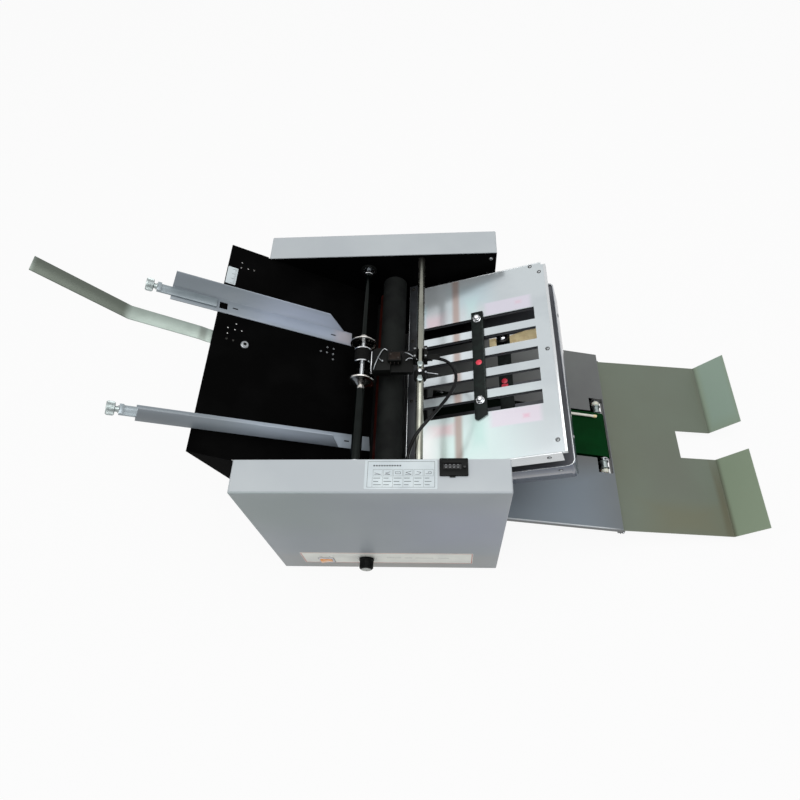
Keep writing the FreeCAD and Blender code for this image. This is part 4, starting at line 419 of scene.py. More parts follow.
# Pale ABS moulding: a light gray with soft edges
moulded_pale = finish("moulded_pale_abs", "#C9C8CC", "#BDBCC0", (0.34, 0.44), 0.4, 0.008, patch=20)
# Black anodised aluminium: a dark satin metal with bright corners
anodised_black = finish("anodised_aluminium_black", "#1B1C1F", "#242528", (0.24, 0.36), 0.4,
                        0.004, patch=20, rub="#8A8C8F", Metallic=0.7)

# Shapes drawn in millimetres

def turned_shape(profile, steps):
    """Turn a profile of (radius, place along the axis) round Z."""
    made = bmesh.new()
    rings = []
    for radius, along in profile:
        if radius < 1e-6:
            rings.append([made.verts.new((0, 0, along))])
        else:
            rings.append([made.verts.new((radius * math.cos(a), radius * math.sin(a), along))
                          for a in (2 * math.pi * k / steps for k in range(steps))])
    for low, high in zip(rings, rings[1:]):
        for k in range(steps):
            corners = [low[k % len(low)], low[(k + 1) % len(low)],
                       high[(k + 1) % len(high)], high[k % len(high)]]
            unique = list(dict.fromkeys(corners))
            if len(unique) > 2:
                made.faces.new(unique)
    return made


def ring_shape(profile, steps):
    """As turned_shape, with the profile closed on itself."""
    made = turned_shape(list(profile) + [profile[0]], steps)
    bmesh.ops.remove_doubles(made, verts=made.verts, dist=1e-5)
    return made


def flat_shape(outline, low, high, holes=()):
    """A plate between two heights, from an outline and the outlines of its holes."""
    made = bmesh.new()
    for loop in [outline, *holes]:
        spots = [made.verts.new((x, y, low)) for x, y in loop]
        for a, b in zip(spots, spots[1:] + spots[:1]):
            made.edges.new((a, b))
    bmesh.ops.triangle_fill(made, use_beauty=True, use_dissolve=True, edges=made.edges)
    grown = bmesh.ops.extrude_face_region(made, geom=made.faces)
    raised = [g for g in grown["geom"] if isinstance(g, bmesh.types.BMVert)]
    bmesh.ops.translate(made, verts=raised, vec=(0, 0, high - low))
    return made


def box_shape(x, y, z):
    """A block between pairs of places."""
    return flat_shape([(x[0], y[0]), (x[1], y[0]), (x[1], y[1]), (x[0], y[1])], z[0], z[1])


def circle_line(x, y, radius, steps):
    return [(x + radius * math.cos(2 * math.pi * k / steps),
             y + radius * math.sin(2 * math.pi * k / steps)) for k in range(steps)]


def round_rectangle(x, y, radius):
    """A rectangle between pairs of places, with round corners."""
    points, steps = [], 5
    for cx, cy, start in ((x[1] - radius, y[1] - radius, 0), (x[0] + radius, y[1] - radius, 90),
                          (x[0] + radius, y[0] + radius, 180),
                          (x[1] - radius, y[0] + radius, 270)):
        for k in range(steps + 1):
            a = math.radians(start + 90 * k / steps)
            points.append((cx + radius * math.cos(a), cy + radius * math.sin(a)))
    return points


def round_line(name, points, radius, sides, steps):
    """A round line along one smooth spline, as an object."""
    curve = bpy.data.curves.new(name, "CURVE")
    curve.dimensions = "3D"
    curve.bevel_depth = radius
    curve.bevel_resolution = sides
    curve.use_fill_caps = True
    line = curve.splines.new("NURBS")
    line.points.add(len(points) - 1)
    for place, point in zip(line.points, points):
        place.co = (*point, 1)
    line.order_u = 3
    line.use_endpoint_u = True
    line.resolution_u = steps
    return bpy.data.objects.new(name, curve)


def wire_shape(points, radius):
    """A round wire through points, with its bends rounded."""
    holder = round_line("wire", points, radius, 3, 12)
    made = taken(bpy.data.meshes.new_from_object(holder))
    bmesh.ops.remove_doubles(made, verts=made.verts, dist=1e-4)
    bpy.data.objects.remove(holder)
    return made


def taken(mesh):
    """A mesh as an editable shape."""
    made = bmesh.new()
    made.from_mesh(mesh)
    bpy.data.meshes.remove(mesh)
    return made


def together(*shapes):
    """Several shapes as one."""
    made = bmesh.new()
    for shape in shapes:
        carrier = bpy.data.meshes.new("carrier")
        shape.to_mesh(carrier)
        shape.free()
        made.from_mesh(carrier)
        bpy.data.meshes.remove(carrier)
    return made


def moved(shape, matrix):
    bmesh.ops.transform(shape, matrix=matrix, verts=shape.verts)
    return shape


def shifted(shape, x=0, y=0, z=0):
    return moved(shape, shift(x, y, z))


def held(name, shape):
    """A plain object that carries a shape while modifiers work on it."""
    mesh = bpy.data.meshes.new(name)
    shape.to_mesh(mesh)
    shape.free()
    holder = bpy.data.objects.new(name, mesh)
    bpy.context.scene.collection.objects.link(holder)
    return holder


def evaluated(holder):
    """The plain mesh that an object's modifiers give."""
    bpy.context.view_layer.update()
    seen = holder.evaluated_get(bpy.context.evaluated_depsgraph_get())
    return bpy.data.meshes.new_from_object(seen)


def put(name, shape, material, body=BASE, place=FLAT, bevel=0.0, angle=35, stands_for=()):
    """Make a finished piece from a shape, with its edges broken, riding on a body."""
    bmesh.ops.recalc_face_normals(shape, faces=shape.faces)
    holder = held(name, shape)
    if bevel:
        edge = holder.modifiers.new("broken_edges", "BEVEL")
        edge.width = bevel
        edge.segments = 2
        edge.limit_method = "ANGLE"
        edge.angle_limit = math.radians(30)
        holder.data = evaluated(holder)
        holder.modifiers.clear()
    mesh = holder.data
    mesh.transform(place)
    mesh.name = name
    mesh.materials.clear()
    for one in material if isinstance(material, (list, tuple)) else [material]:
        mesh.materials.append(one)
    mesh.polygons.foreach_set("use_smooth", [True] * len(mesh.polygons))
    mesh.set_sharp_from_angle(angle=math.radians(angle))
    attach(holder, body)
    if stands_for:
        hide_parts(*stands_for)
    return holder


# Trees that repeat a shape: in a row, round an axis, or on chosen places

def new_tree(name, inputs):
    tree = bpy.data.node_groups.new(name, "GeometryNodeTree")
    tree.interface.new_socket("Shape", in_out="INPUT", socket_type="NodeSocketGeometry")
    for label, kind in inputs.items():
        tree.interface.new_socket(label, in_out="INPUT", socket_type="NodeSocket" + kind)
    tree.interface.new_socket("Shape", in_out="OUTPUT", socket_type="NodeSocketGeometry")
    return tree, add(tree, "NodeGroupInput")


def end_tree(tree, copies, material):
    """Copies become real faces with their finish."""
    real = add(tree, "GeometryNodeRealizeInstances", {"Geometry": copies})
    done = add(tree, "GeometryNodeSetMaterial", {"Geometry": real, "Material": material})
    add(tree, "NodeGroupOutput", {"Shape": done})
    return tree


def make_copies_tree():
    """Copies step along X by a pitch, and turn about Z by an even share of a sweep."""
    tree, given = new_tree("copies_in_step", {"Count": "Int", "Pitch": "Float", "Sweep": "Float",
                                              "Finish": "Material"})
    step = add(tree, "ShaderNodeCombineXYZ", {"X": given.outputs["Pitch"]})
    line = add(tree, "GeometryNodeMeshLine", {"Count": given.outputs["Count"], "Offset": step})
    share = math_of(tree, "DIVIDE", given.outputs["Sweep"], given.outputs["Count"])
    number = add(tree, "GeometryNodeInputIndex")
    turn = math_of(tree, "MULTIPLY", number, share)
    around = add(tree, "ShaderNodeCombineXYZ", {"Z": turn})
    copies = add(tree, "GeometryNodeInstanceOnPoints", {
        "Points": line, "Instance": given.outputs["Shape"], "Rotation": around})
    return end_tree(tree, copies, given.outputs["Finish"])


def make_places_tree():
    """Copies of a pattern stand on points, aimed by the points' own attribute."""
    tree, given = new_tree("copies_on_places", {
        "Pattern": "Object", "Size": "Float", "Loose Turn": "Float", "Seed": "Int",
        "Finish": "Material"})
    pattern = add(tree, "GeometryNodeObjectInfo", {"Object": given.outputs["Pattern"]})
    aim = add(tree, "GeometryNodeInputNamedAttribute", {"Name": "aim"}, data_type="FLOAT_VECTOR")
    copies = add(tree, "GeometryNodeInstanceOnPoints", {
        "Points": given.outputs["Shape"], "Instance": pattern.outputs["Geometry"],
        "Rotation": aim, "Scale": given.outputs["Size"]})
    chance = add(tree, "FunctionNodeRandomValue", {3: given.outputs["Loose Turn"],
                                                   "Seed": given.outputs["Seed"]})
    spin = add(tree, "ShaderNodeCombineXYZ", {"Z": chance.outputs[1]})
    loose = add(tree, "GeometryNodeRotateInstances", {
        "Instances": copies, "Rotation": spin, "Local Space": True})
    return end_tree(tree, loose, given.outputs["Finish"])


COPIES_TREE = make_copies_tree()
PLACES_TREE = make_places_tree()


def grown(shape, tree, material, **values):
    """Run a tree on a shape and give the plain shape that it makes."""
    holder = held("grown", shape)
    maker = holder.modifiers.new("copies", "NODES")
    maker.node_group = tree
    for item in tree.interface.items_tree:
        if item.in_out == "INPUT" and item.name in values:
            maker[item.identifier] = values[item.name]
        if item.in_out == "INPUT" and item.name == "Finish":
            maker[item.identifier] = material
    mesh = evaluated(holder)
    bpy.data.objects.remove(holder)
    return taken(mesh)


def in_row(shape, count, pitch, material):
    return grown(shape, COPIES_TREE, material, Count=count, Pitch=float(pitch), Sweep=0.0)


def round_axis(shape, count, material, sweep=360.0):
    return grown(shape, COPIES_TREE, material, Count=count, Pitch=0.0, Sweep=math.radians(sweep))


def on_places(shape, places, material, size=1.0, loose=0.0):
    """Copies of a shape on places, each a point and the way that it faces."""
    pattern = held("pattern", shape)
    points = bmesh.new()
    for point, _ in places:
        points.verts.new(point)
    carrier = held("places", points)
    aims = carrier.data.attributes.new("aim", "FLOAT_VECTOR", "POINT")
    for number, (_, way) in enumerate(places):
        turn = Vector(UP).rotation_difference(Vector(way)).to_euler()
        aims.data[number].vector = turn
    points = bmesh.new()
    points.from_mesh(carrier.data)
    bpy.data.objects.remove(carrier)
    made = grown(points, PLACES_TREE, material, Pattern=pattern, Size=float(size), Seed=7,
                 **{"Loose Turn": math.radians(loose)})
    bpy.data.objects.remove(pattern)
    return made


def body_named(node):
    return frame["nodes"][node].parent.name.split(":")[1]


def solids_of(shape):
    """Each separate solid of a shape, as its faces and its corners in millimetres."""
    left = set(shape.faces)
    while left:
        found, edge = set(), [left.pop()]
        while edge:
            face = edge.pop()
            found.add(face)
            for corner in face.verts:
                for near in corner.link_faces:
                    if near in left:
                        left.discard(near)
                        edge.append(near)
        points = [v.co / MM + Vector((SET_BACK, 0, 0)) for face in found for v in face.verts]
        yield found, [min(p[i] for p in points) for i in range(3)], \
            [max(p[i] for p in points) for i in range(3)]


def smooth_node(node, material, bevel=0.0, others=(), leave=None):
    """A merged copy of a node's own mesh, so that round faces shade as round.

    others pairs a material with a test of a solid's low and high corners, and leave is
    such a test for solids that other pieces stand for.
    """
    shape = bmesh.new()
    shape.from_mesh(frame["nodes"][node].data)
    bmesh.ops.remove_doubles(shape, verts=shape.verts, dist=1e-6)
    gone = []
    for faces, low, high in solids_of(shape):
        number = 0
        for place, (_, test) in enumerate(others, start=1):
            if test(low, high):
                number = place
                break
        for face in faces:
            face.material_index = number
        if leave and leave(low, high):
            gone += [*faces]
    bmesh.ops.delete(shape, geom=gone, context="FACES")
    return put(node + "_smooth", shape, [material, *[one for one, _ in others]],
               body_named(node), Matrix.Identity(4), bevel=bevel * MM, angle=32,
               stands_for=(node,))


def paint_node(node, material):
    """Give a node that stays as it is its finish."""
    mesh = frame["nodes"][node].data
    mesh.materials.clear()
    mesh.materials.append(material)


# Sensor cable: one spline on the points of its route

CABLE_ROUTE = [
    (281, -15, 355), (305, -15, 355), (324, -38, 360), (326, -68, 366), (311, -101, 373),
    (288, -133, 377), (264, -162, 374), (252, -186, 352), (252, -206, 352),
]


def make_cable():
    lead = round_line("sensor_lead", [spot(*point) for point in CABLE_ROUTE], 2.5 * MM, 6, 24)
    bpy.context.scene.collection.objects.link(lead)
    lead.data.materials.append(vinyl_sheath)
    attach(lead, "machine_base")
    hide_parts("sensor_cable")
    spot(*CABLE_ROUTE[0])


make_cable()

# Fasteners

def pan_head(radius, high, steps=20):
    """A pan head with a round drive pit."""
    return turned_shape([
        (0, 0.45 * high), (0.34 * radius, 0.55 * high), (0.42 * radius, 0.97 * high),
        (0.62 * radius, 0.93 * high), (0.88 * radius, 0.62 * high), (radius, 0.3 * high),
        (radius, 0), (0, 0)], steps)


def button_head(radius, high):
    """A button head with a six-sided socket."""
    crown = flat_shape(circle_line(0, 0, 0.8 * radius, 36), 0.62 * high, high,
                       [circle_line(0, 0, 0.46 * radius, 6)])
    return together(turned_shape([(0, 0), (radius, 0), (radius, 0.3 * high),
                                  (0.93 * radius, 0.48 * high), (0.8 * radius, 0.62 * high),
                                  (0, 0.62 * high)], 36), crown)


def hexagon_nut(across, high, bore=0.0):
    outline = circle_line(0, 0, across / math.sqrt(3), 6)
    return flat_shape(outline, 0, high, [circle_line(0, 0, bore, 16)] if bore else [])


def acorn_nut(radius, high):
    """A washer, a hexagon and a polished dome."""
    return together(
        turned_shape([(0, 0), (radius, 0), (radius, 0.07 * high), (0, 0.07 * high)], 36),
        shifted(flat_shape(circle_line(0, 0, 0.96 * radius, 6), 0, 0.42 * high), z=0.07 * high),
        turned_shape([(0, 0.49 * high), (0.76 * radius, 0.49 * high),
                      (0.78 * radius, 0.6 * high), (0.7 * radius, 0.78 * high),
                      (0.5 * radius, 0.92 * high), (0.24 * radius, 0.985 * high),
                      (0, high)], 32))


def in_frame(place, point, way):
    """A place in a sloped frame and the way that it faces there, in the flat frame."""
    turn = place.to_3x3().normalized()
    return FLAT.inverted() @ place @ Vector(point), turn @ Vector(way)


def put_screws(name, places, radius, high, place=FLAT, metal=screw_nickel):
    """Pan heads, each ringed by a dark washer shape that paints the shadow round its head, with a
    dark disc that paints the shade in its drive pit.
    """
    put(name, on_places(pan_head(radius, high), places, metal, loose=90), metal, BASE, place)
    washer = ring_shape([(0.8 * radius, 0), (1.3 * radius, 0), (1.3 * radius, 0.4),
                         (0.8 * radius, 0.4)], 20)
    pit = flat_shape(circle_line(0, 0, 0.42 * radius, 6), 0.5 * high, 0.62 * high)
    put(name + "_washers", on_places(together(washer, pit), places, dull_brass_and_shadow), dull_brass_and_shadow,
        BASE, place)


def make_screws():
    heads = []
    for y in (222.15, -222.15):
        for z in (40, 326):
            heads.append(((0, y, z), (-1, 0, 0)))
            heads.append(((400, y, z), (1, 0, 0)))
    put("cover_screws", on_places(pan_head(3.5, 2), heads, ground_steel, loose=90),
        ground_steel, stands_for=("screws",))
    plate = [in_frame(UPPER, point, way) for point, way in (
        ((231.6, 0, 0), UP), ((231.6, 160.2, 0), UP), ((231.6, -160.2, 0), UP),
        ((217.3, 176, 0), UP),
        ((215.8, -181.5, -12), (0, -1, 0)), ((40, -181.5, -12), (0, -1, 0)),
        ((215.8, 181.5, -12), (0, 1, 0)), ((40, 181.5, -12), (0, 1, 0)))]
    plate += [in_frame(LOWER, point, way) for point, way in (
        ((233.5, -178, -11), (0, -1, 0)), ((30, -178, -11), (0, -1, 0)),
        ((233.5, 178, -11), (0, 1, 0)), ((257, 120, -20), (1, 0, 0)),
        ((257, -120, -20), (1, 0, 0)))]
    put_screws("plate_screws", plate, 2.6, 1.6)
    bolts = [((x, PLATE_FACE * side, z), (0, -side, 0)) for side in (1, -1)
             for x, z in ((390.5, 350.8), (12, 190), (388, 30), (20, 26), (150, 30))]
    put_screws("side_plate_bolts", bolts, 3.4, 2.4)


make_screws()

# Infeed table: eyelets, bolt and ruler

TABLE_HOLES = [
    (22.1, 166.3), (22.1, 155.1), (33.9, 157.4), (44.2, 158.6), (32.8, 38.3), (21.0, 27.1),
    (32.5, 26.9), (43.4, 28.1), (22.1, 16.5), (22.4, 5.7), (33.0, 5.7), (190.1, 46.7),
    (201.6, 47.3), (178.9, 35.1), (190.1, 35.9), (201.0, 36.1), (201.9, 25.5),
]


def make_table_fittings():
    bolt = body_named("strip_bolt")
    # Lips stay lower than the gap under the side guides, which slide over them
    eyelet = [(1.3, 0), (2.1, 0), (2.0, 0.12), (1.6, 0.2), (1.3, 0.1)]
    for name, holes, size, material in (
            ("dull_eyelets", TABLE_HOLES[:11], 0.85, dull_brass_and_shadow),
            ("bright_eyelets", TABLE_HOLES[11:], 0.8, screw_nickel)):
        places = [((x, y, 0), UP) for x, y in holes]
        put(name, on_places(ring_shape(eyelet, 16), places, material, size), material, BASE, TABLE)
    put("strip_bolt_head", shifted(button_head(6.6, 3.4), BOLT_X, BOLT_Y, 0), screw_nickel,
        bolt, TABLE, bevel=0.25, angle=50, stands_for=("strip_bolt",))
    # A black hexagon on the socket's floor paints the shade inside it
    put("strip_bolt_socket", shifted(hexagon_nut(5.2, 0.1), BOLT_X, BOLT_Y, 2.12), soft_rubber,
        bolt, TABLE)
    shank = turned_shape([(0, -10), (2.4, -10), (2.9, -9.4), (2.9, 0), (0, 0)], 24)
    put("strip_bolt_nut", together(
        shifted(shank, BOLT_X, BOLT_Y, 0), shifted(hexagon_nut(9, 4, 2.9), BOLT_X, BOLT_Y, -8.1)),
        zinc_plate, bolt, TABLE, bevel=0.2)
    put("paper_ruler", flat_shape(round_rectangle((1.2, 18), (114, 150), 1.2), 0, 0.18),
        vinyl_pale, BASE, TABLE)
    # A tick each two millimetres, and a long one each ten
    short = in_row(box_shape((0, 0.35), (0, 4), (0, 0.04)), 17, 2, ink_dark)
    long = in_row(box_shape((0, 0.5), (0, 8), (0, 0.05)), 4, 10, ink_dark)
    turn = shift(17, 116, 0.18) @ about("Z", 90)
    put("ruler_ticks", moved(together(short, long), turn), ink_dark, BASE, TABLE)


make_table_fittings()

# Side guides: thumb screws with knurled cup heads

def thumb_screw():
    """Local Z runs out from the bar's tab, along the screw."""
    cup = turned_shape([
        (0, -5.5), (1.6, -5.5), (2, -4.9), (2, 0.3), (5.4, 0.3), (5.4, 1.5), (4.1, 1.6),
        (4.1, 5.2), (8.4, 5.2), (9.3, 6.1), (9.3, 15.6), (8.7, 16.6), (7.0, 16.7),
        (6.5, 13.2), (3.2, 13.0), (3.0, 15.4), (2.4, 15.9), (0, 15.9)], 48)
    ridge = flat_shape([(9.1, -0.62), (10, 0), (9.1, 0.62)], 6.6, 15.3)
    return together(cup, round_axis(ridge, 32, zinc_plate))


def make_thumb_screws():
    for kind, place, side in (("back", BACK_GUIDE, -13.5), ("front", FRONT_GUIDE, 12.5)):
        turn = place @ shift(-22, side, 5) @ about("Y", -90)
        put(kind + "_thumb_cup", thumb_screw(), satin_white_metal, "thumb_" + kind, turn,
            angle=40, stands_for=(kind + "_thumb_screw",))


make_thumb_screws()

# Feed shaft: cup discs, wheel, sleeves and collars, all turned about the shaft

def about_feed(y, way="Y"):
    return square_on(FEED_X, y, FEED_Z, way)


def make_feed():
    cup = [(4, 16), (6.4, 16), (7, 15.4), (7, 11.6), (6.3, 11.3), (6.3, 10.3), (8, 9.6),
           (12.6, 4.9), (18.6, 3.2), (21, 2.9), (21.8, 2.2), (22, 1.3), (21.8, 0.5), (21.1, 0),
           (19.6, 0), (19, 0.6), (18.7, 1.4), (11.6, 3.4), (6.5, 6.2), (4, 6.2)]
    for kind, y, way in (("back", 31, "Y"), ("front", -41, "-Y")):
        screw = moved(pan_head(1.6, 1.4, 12), shift(0, 6.6, 13.6) @ about("X", -90))
        put(kind + "_cup_disc", together(ring_shape(cup, 64), screw), spun_aluminium,
            "feed_roll", about_feed(y, way), angle=40, stands_for=("feed_discs",))
    flange = [(4, 0), (14.5, 0), (15, 0.5), (15, 1.5), (14.5, 2), (4, 2)]
    put("wheel_flanges", together(ring_shape(flange, 48), shifted(ring_shape(flange, 48), z=25)),
        chrome, "feed_roll", about_feed(-9), stands_for=("feed_discs",))
    tread = [(4, 0), (12.9, 0), (13.4, 0.6)]
    for k in range(7):
        tread += [(13.5, 1.2 + 3 * k), (13.5, 3.2 + 3 * k), (12.9, 3.4 + 3 * k),
                  (12.9, 4.0 + 3 * k)]
    tread += [(13.4, 22.4), (12.9, 23), (4, 23)]
    put("feed_tyre", ring_shape(tread, 64), soft_rubber, "feed_roll", about_feed(-7),
        stands_for=("feed_wheel",))
    front = [(4, 0), (7.7, 0), (8.2, 0.5), (8.2, 129.5), (7.7, 130), (4, 130)]
    back = [(4, 0), (4.6, 0), (5, 0.5), (5, 138.5), (4.6, 139), (4, 139)]
    sleeves = together(shifted(ring_shape(front, 48), z=-188), shifted(ring_shape(back, 48), z=49))
    put("shaft_sleeves_turned", sleeves, black_oxide, "feed_roll", about_feed(0),
        stands_for=("shaft_sleeves",))
    collar = [(5.1, 0), (7.9, 0), (8.5, 0.6), (8.5, 3.8), (7.9, 4.4), (5.1, 4.4)]
    wide = [(r + 2, z) for r, z in collar]
    put("shaft_collars", together(shifted(ring_shape(collar, 40), z=183),
                                  shifted(ring_shape(wide, 40), z=-187.6)),
        chrome, "feed_roll", about_feed(0))
    housing = [(11.2, 0), (13.6, 0), (14.4, 0.8), (14.4, 1.6), (13.6, 2.2), (11.2, 2.6)]
    for kind, y, way in (("back", PLATE_FACE, "-Y"), ("front", -PLATE_FACE, "Y")):
        put(kind + "_shaft_housing", ring_shape(housing, 48), moulded_black, BASE,
            about_feed(y, way))


make_feed()

# Paper sensor: what sits on its block

def make_sensor_details():
    # Open saddle that the cross bar lies in, held by a screw in each of its walls
    under = [(6.1 * math.cos(math.pi * k / 12), 6.1 * math.sin(math.pi * k / 12))
             for k in range(13)]
    saddle = flat_shape([(-11, 10), (11, 10), (11, -9), (6.1, -9), *under, (-6.1, -9), (-11, -9)],
                        0, 24)
    put("sensor_saddle", saddle, moulded_black, BASE, square_on(BAR_X, -22, BAR_Z, "Y"), bevel=0.5,
        stands_for=("sensor_bracket",))
    put_screws("saddle_screws", [((x, y, 365), UP) for x in (261.3, 278.5)
                                 for y in (-17, -3)], 1.9, 1.4)
    # Snap switch on the arm, with its pins and two rivets
    put("snap_switch", box_shape((219, 240), (-26, -9), (354.2, 366)), moulded_black, BASE,
        bevel=0.8)
    put("snap_switch_lid", box_shape((220.5, 238.5), (-24.5, -10.5), (366, 366.5)),
        sleeve_brown, BASE, bevel=0.3)
    put("snap_switch_rivets", on_places(pan_head(1.5, 0.8, 12), [
        ((223.5, -14, 366.5), UP), ((235.5, -21, 366.5), UP)], dull_brass_and_shadow),
        dull_brass_and_shadow)
    pins = in_row(box_shape((0, 0.8), (-2.6, 0), (0, 4)), 3, 6, dull_brass_and_shadow)
    put("snap_switch_pins", shifted(pins, 223, -26, 358), dull_brass_and_shadow, BASE, bevel=0.1)
    # Wire bail at the block's feed end and the ball of its trip lever
    bail = wire_shape([(196, -37, 352), (196, -37, 361), (210, 2, 361.5), (218, -3, 361),
                       (218, -3, 356)], 0.7)
    arm = wire_shape([(202, -14, 359), (205, -20, 362), (210, -23.4, 361)], 0.6)
    ball = shifted(turned_shape([(0, -2), (1.2, -1.6), (1.9, -0.6), (1.9, 0.6), (1.2, 1.6),
                                 (0, 2)], 16), 210.4, -23.4, 361)
    put("sensor_bail", together(bail, arm, ball), screw_nickel, BASE, angle=60)
    lever = wire_shape([(244, -6, 357), (246, -8, 361.5), (256, -13, 362), (265, -20, 358)], 0.8)
    knee = wire_shape([(247, -21, 357), (251, -15, 359.5), (258, -18, 358)], 0.7)
    put("sensor_levers", together(lever, knee), screw_nickel, BASE, angle=60)
    # Second collar on the cross bar, with two ears, a pinch screw and a ball lever
    collar = [(5.9, 0), (9.2, 0), (9.6, 0.5), (9.6, 13.5), (9.2, 14), (5.9, 14)]
    put("bar_collar", ring_shape(collar, 40), moulded_black, BASE,
        square_on(BAR_X, -56, BAR_Z, "Y"))
    ear = [(-2.5, 8), (2.5, 8), (4.5, 15), (3, 18), (-3, 18), (-4.5, 15)]
    ears = together(*(moved(flat_shape(ear, -1, 1), about("Z", turn)) for turn in (0, 180)))
    put("collar_ears", ears, satin_white_metal, BASE, square_on(BAR_X, -46.5, BAR_Z + 10.4),
        bevel=0.3)
    put("collar_screw", pan_head(3.4, 2.4), chrome, BASE, square_on(BAR_X, -46.5, BAR_Z + 11.4))
    stem = wire_shape([(276, -46, 360), (279, -46, 361), (290, -48.5, 361.5), (298, -49.5, 361)],
                      0.8)
    knob = shifted(turned_shape([(0, -2.2), (1.4, -1.8), (2.2, -0.7), (2.2, 0.7), (1.4, 1.8),
                                 (0, 2.2)], 20), 278.5, -45.5, 361.5)
    put("collar_lever", together(stem, knob), screw_nickel, BASE, angle=60)
    put("cable_gland_ribs", ring_shape(
        [(2.6, 0), (5.4, 0), (5.4, 1), (4.6, 1.2), (4.6, 2.2), (5.2, 2.4), (5.2, 3.4),
         (4.4, 3.6), (4.4, 4.6), (4.9, 4.8), (4.9, 5.8), (3.2, 7), (2.6, 7)], 24),
        soft_rubber, BASE, square_on(281, -15, 355, "X"))


make_sensor_details()

# Buckle plates: hem, mouth bar, stops

def make_upper_fittings():
    for name, x, y, z, material, broken, nodes in (
            ("plate_hem", (239.6, 243.5), (-179.6, 174.6), (0, 0.6), rolled_steel, 0.2, ()),
            ("mouth_bar_folded", (1.6, 15), (-184, 184), (0.2, 9), mouth_gray, 0.8,
             ("mouth_bar",)),
            ("mouth_lip", (1, 1.9), (-184, 184), (0.2, 9.2), rolled_steel, 0.2, ())):
        put(name, box_shape(x, y, z), material, BASE, UPPER, bevel=broken, stands_for=nodes)
    put_screws("mouth_screws", [((8.3, y, 9), UP) for y in (-176, -60, 60, 176)], 2.6, 1.8,
               UPPER, black_oxide)


make_upper_fittings()


def comb(low, high, start, end, teeth):
    """Teeth along a stop's comb, that meet the paper between the sheets."""
    pitch = (end - start) / teeth
    tooth = box_shape((0, pitch * 0.55), (0, 2.6), (low, high))
    row = in_row(tooth, teeth, pitch, crinkle_black)
    turn = shift(0, start, 0) @ about("Z", 90)
    return moved(row, turn)


def dot_at(x, y):
    """A raised dot of enamel on a stop's blade."""
    return shifted(turned_shape([(0, 0), (5, 0), (4.8, 0.14), (0, 0.16)], 32), x, y, 4.29)


def make_stops():
    nuts = together(*(shifted(acorn_nut(6.5, 10), STOP_NUT_X, y, 4.3) for y in STOP_NUTS_Y))
    studs = together(*(shifted(turned_shape([(0, -5.1), (2.4, -5.1), (2.4, 4.4), (0, 4.4)], 20),
                               STOP_NUT_X, y, 0) for y in STOP_NUTS_Y))
    put("upper_acorn_nuts", together(nuts, studs), chrome, "stop_upper", UPPER, angle=28,
        stands_for=("upper_stop_nuts",))
    outline = [(111.7, -107.6), (116.7, -109.6), (131.7, -101.5), (131.7, 98.6), (111.7, 98.6)]
    blade = flat_shape(outline, 0.3, 4.3)
    put("upper_stop_blade", blade, crinkle_black, "stop_upper", UPPER, bevel=0.5,
        stands_for=("upper_stop_bar",))
    put("upper_stop_comb", together(
        box_shape((117.2, 126.2), (-101.5, 98.6), (-5.1, -2.1)),
        shifted(comb(-5.1, -2.1, -99, 96, 30), x=117.4)), crinkle_black, "stop_upper", UPPER,
        bevel=0.15)
    put("upper_stop_dot", dot_at(STOP_NUT_X, -5.2), red_dot, "stop_upper", UPPER)
    # A scale of fine gray ticks along the blade's edge
    tick = in_row(box_shape((0, 0.4), (0, 1.6), (0, 0.05)), 60, 2.5, ink_gray)
    turn = shift(131.0, -70, 4.3) @ about("Z", 90)
    put("upper_stop_ticks", moved(tick, turn), ink_gray, "stop_upper", UPPER)

    low = [(150.5, -107.6), (156.25, -109.6), (173.5, -101.5), (173.5, 86), (150.5, 86)]
    put("lower_stop_blade", flat_shape(low, 0.3, 4.3), crinkle_black, "stop_lower", LOWER,
        bevel=0.5, stands_for=("lower_stop_bar",))
    put("lower_stop_comb", together(
        box_shape((157.6, 166.4), (-101.5, 86), (-5.1, -2.1)),
        shifted(comb(-5.1, -2.1, -99, 84, 28), x=157.8)), crinkle_black, "stop_lower", LOWER,
        bevel=0.15)
    square = flat_shape(round_rectangle((-5.5, 5.5), (-4, 4), 1.5), 0, 0.15)
    put("lower_stop_dots", together(dot_at(160, -12), shifted(square, 160, -22, 4.29)), red_dot,
        "stop_lower", LOWER)
    for kind, y in (("back", 72), ("front", -76.9)):
        knob = turned_shape([(0, -9.4), (2.4, -9.4), (2.4, 0), (9.2, 0), (9.9, 0.7),
                             (9.9, 6.6), (9.2, 7.6), (5.4, 8.2), (5.2, 7.2), (0, 7.2)], 48)
        flute = flat_shape([(9.7, -0.7), (10.5, 0), (9.7, 0.7)], 0.9, 6.4)
        put("lower_%s_knob" % kind, together(knob, round_axis(flute, 28, glossy_black)),
            glossy_black, "stop_lower", LOWER @ shift(162, y, 4.3), angle=40)
        put("lower_%s_cap" % kind, acorn_nut(4.6, 2.8), chrome, "stop_lower",
            LOWER @ shift(162, y, 11.5), angle=28)
    put("paper_shoe", flat_shape(round_rectangle((138, 150.4), (60, 79), 2), 0.3, 5), cream_acetal,
        "stop_lower", LOWER, bevel=0.5)
    put("paper_tongue", flat_shape([(173.6, 60), (205, 60), (222, 64), (222, 84), (205, 84),
                                    (173.6, 79)], 0.3, 4), cream_acetal, "stop_lower", LOWER,
        bevel=0.5)


make_stops()


def make_frame_trim():
    """Bright steel bands along the frame's folded edge: a painted highlight where the edge catches
    the light.
    """
    rim = [(0, -178), (247.5, -178), (254.5, -174.5), (257, -168.5)]
    inner = [(0, -176.6), (247, -176.6), (253.4, -173.6), (255.6, -168)]
    rim, inner = (half + [(x, -y) for x, y in half[::-1]] for half in (rim, inner))
    band = rim + inner[::-1]
    put("frame_rim", flat_shape(band, 2, 2.5), rolled_steel, BASE, LOWER, bevel=0.15)


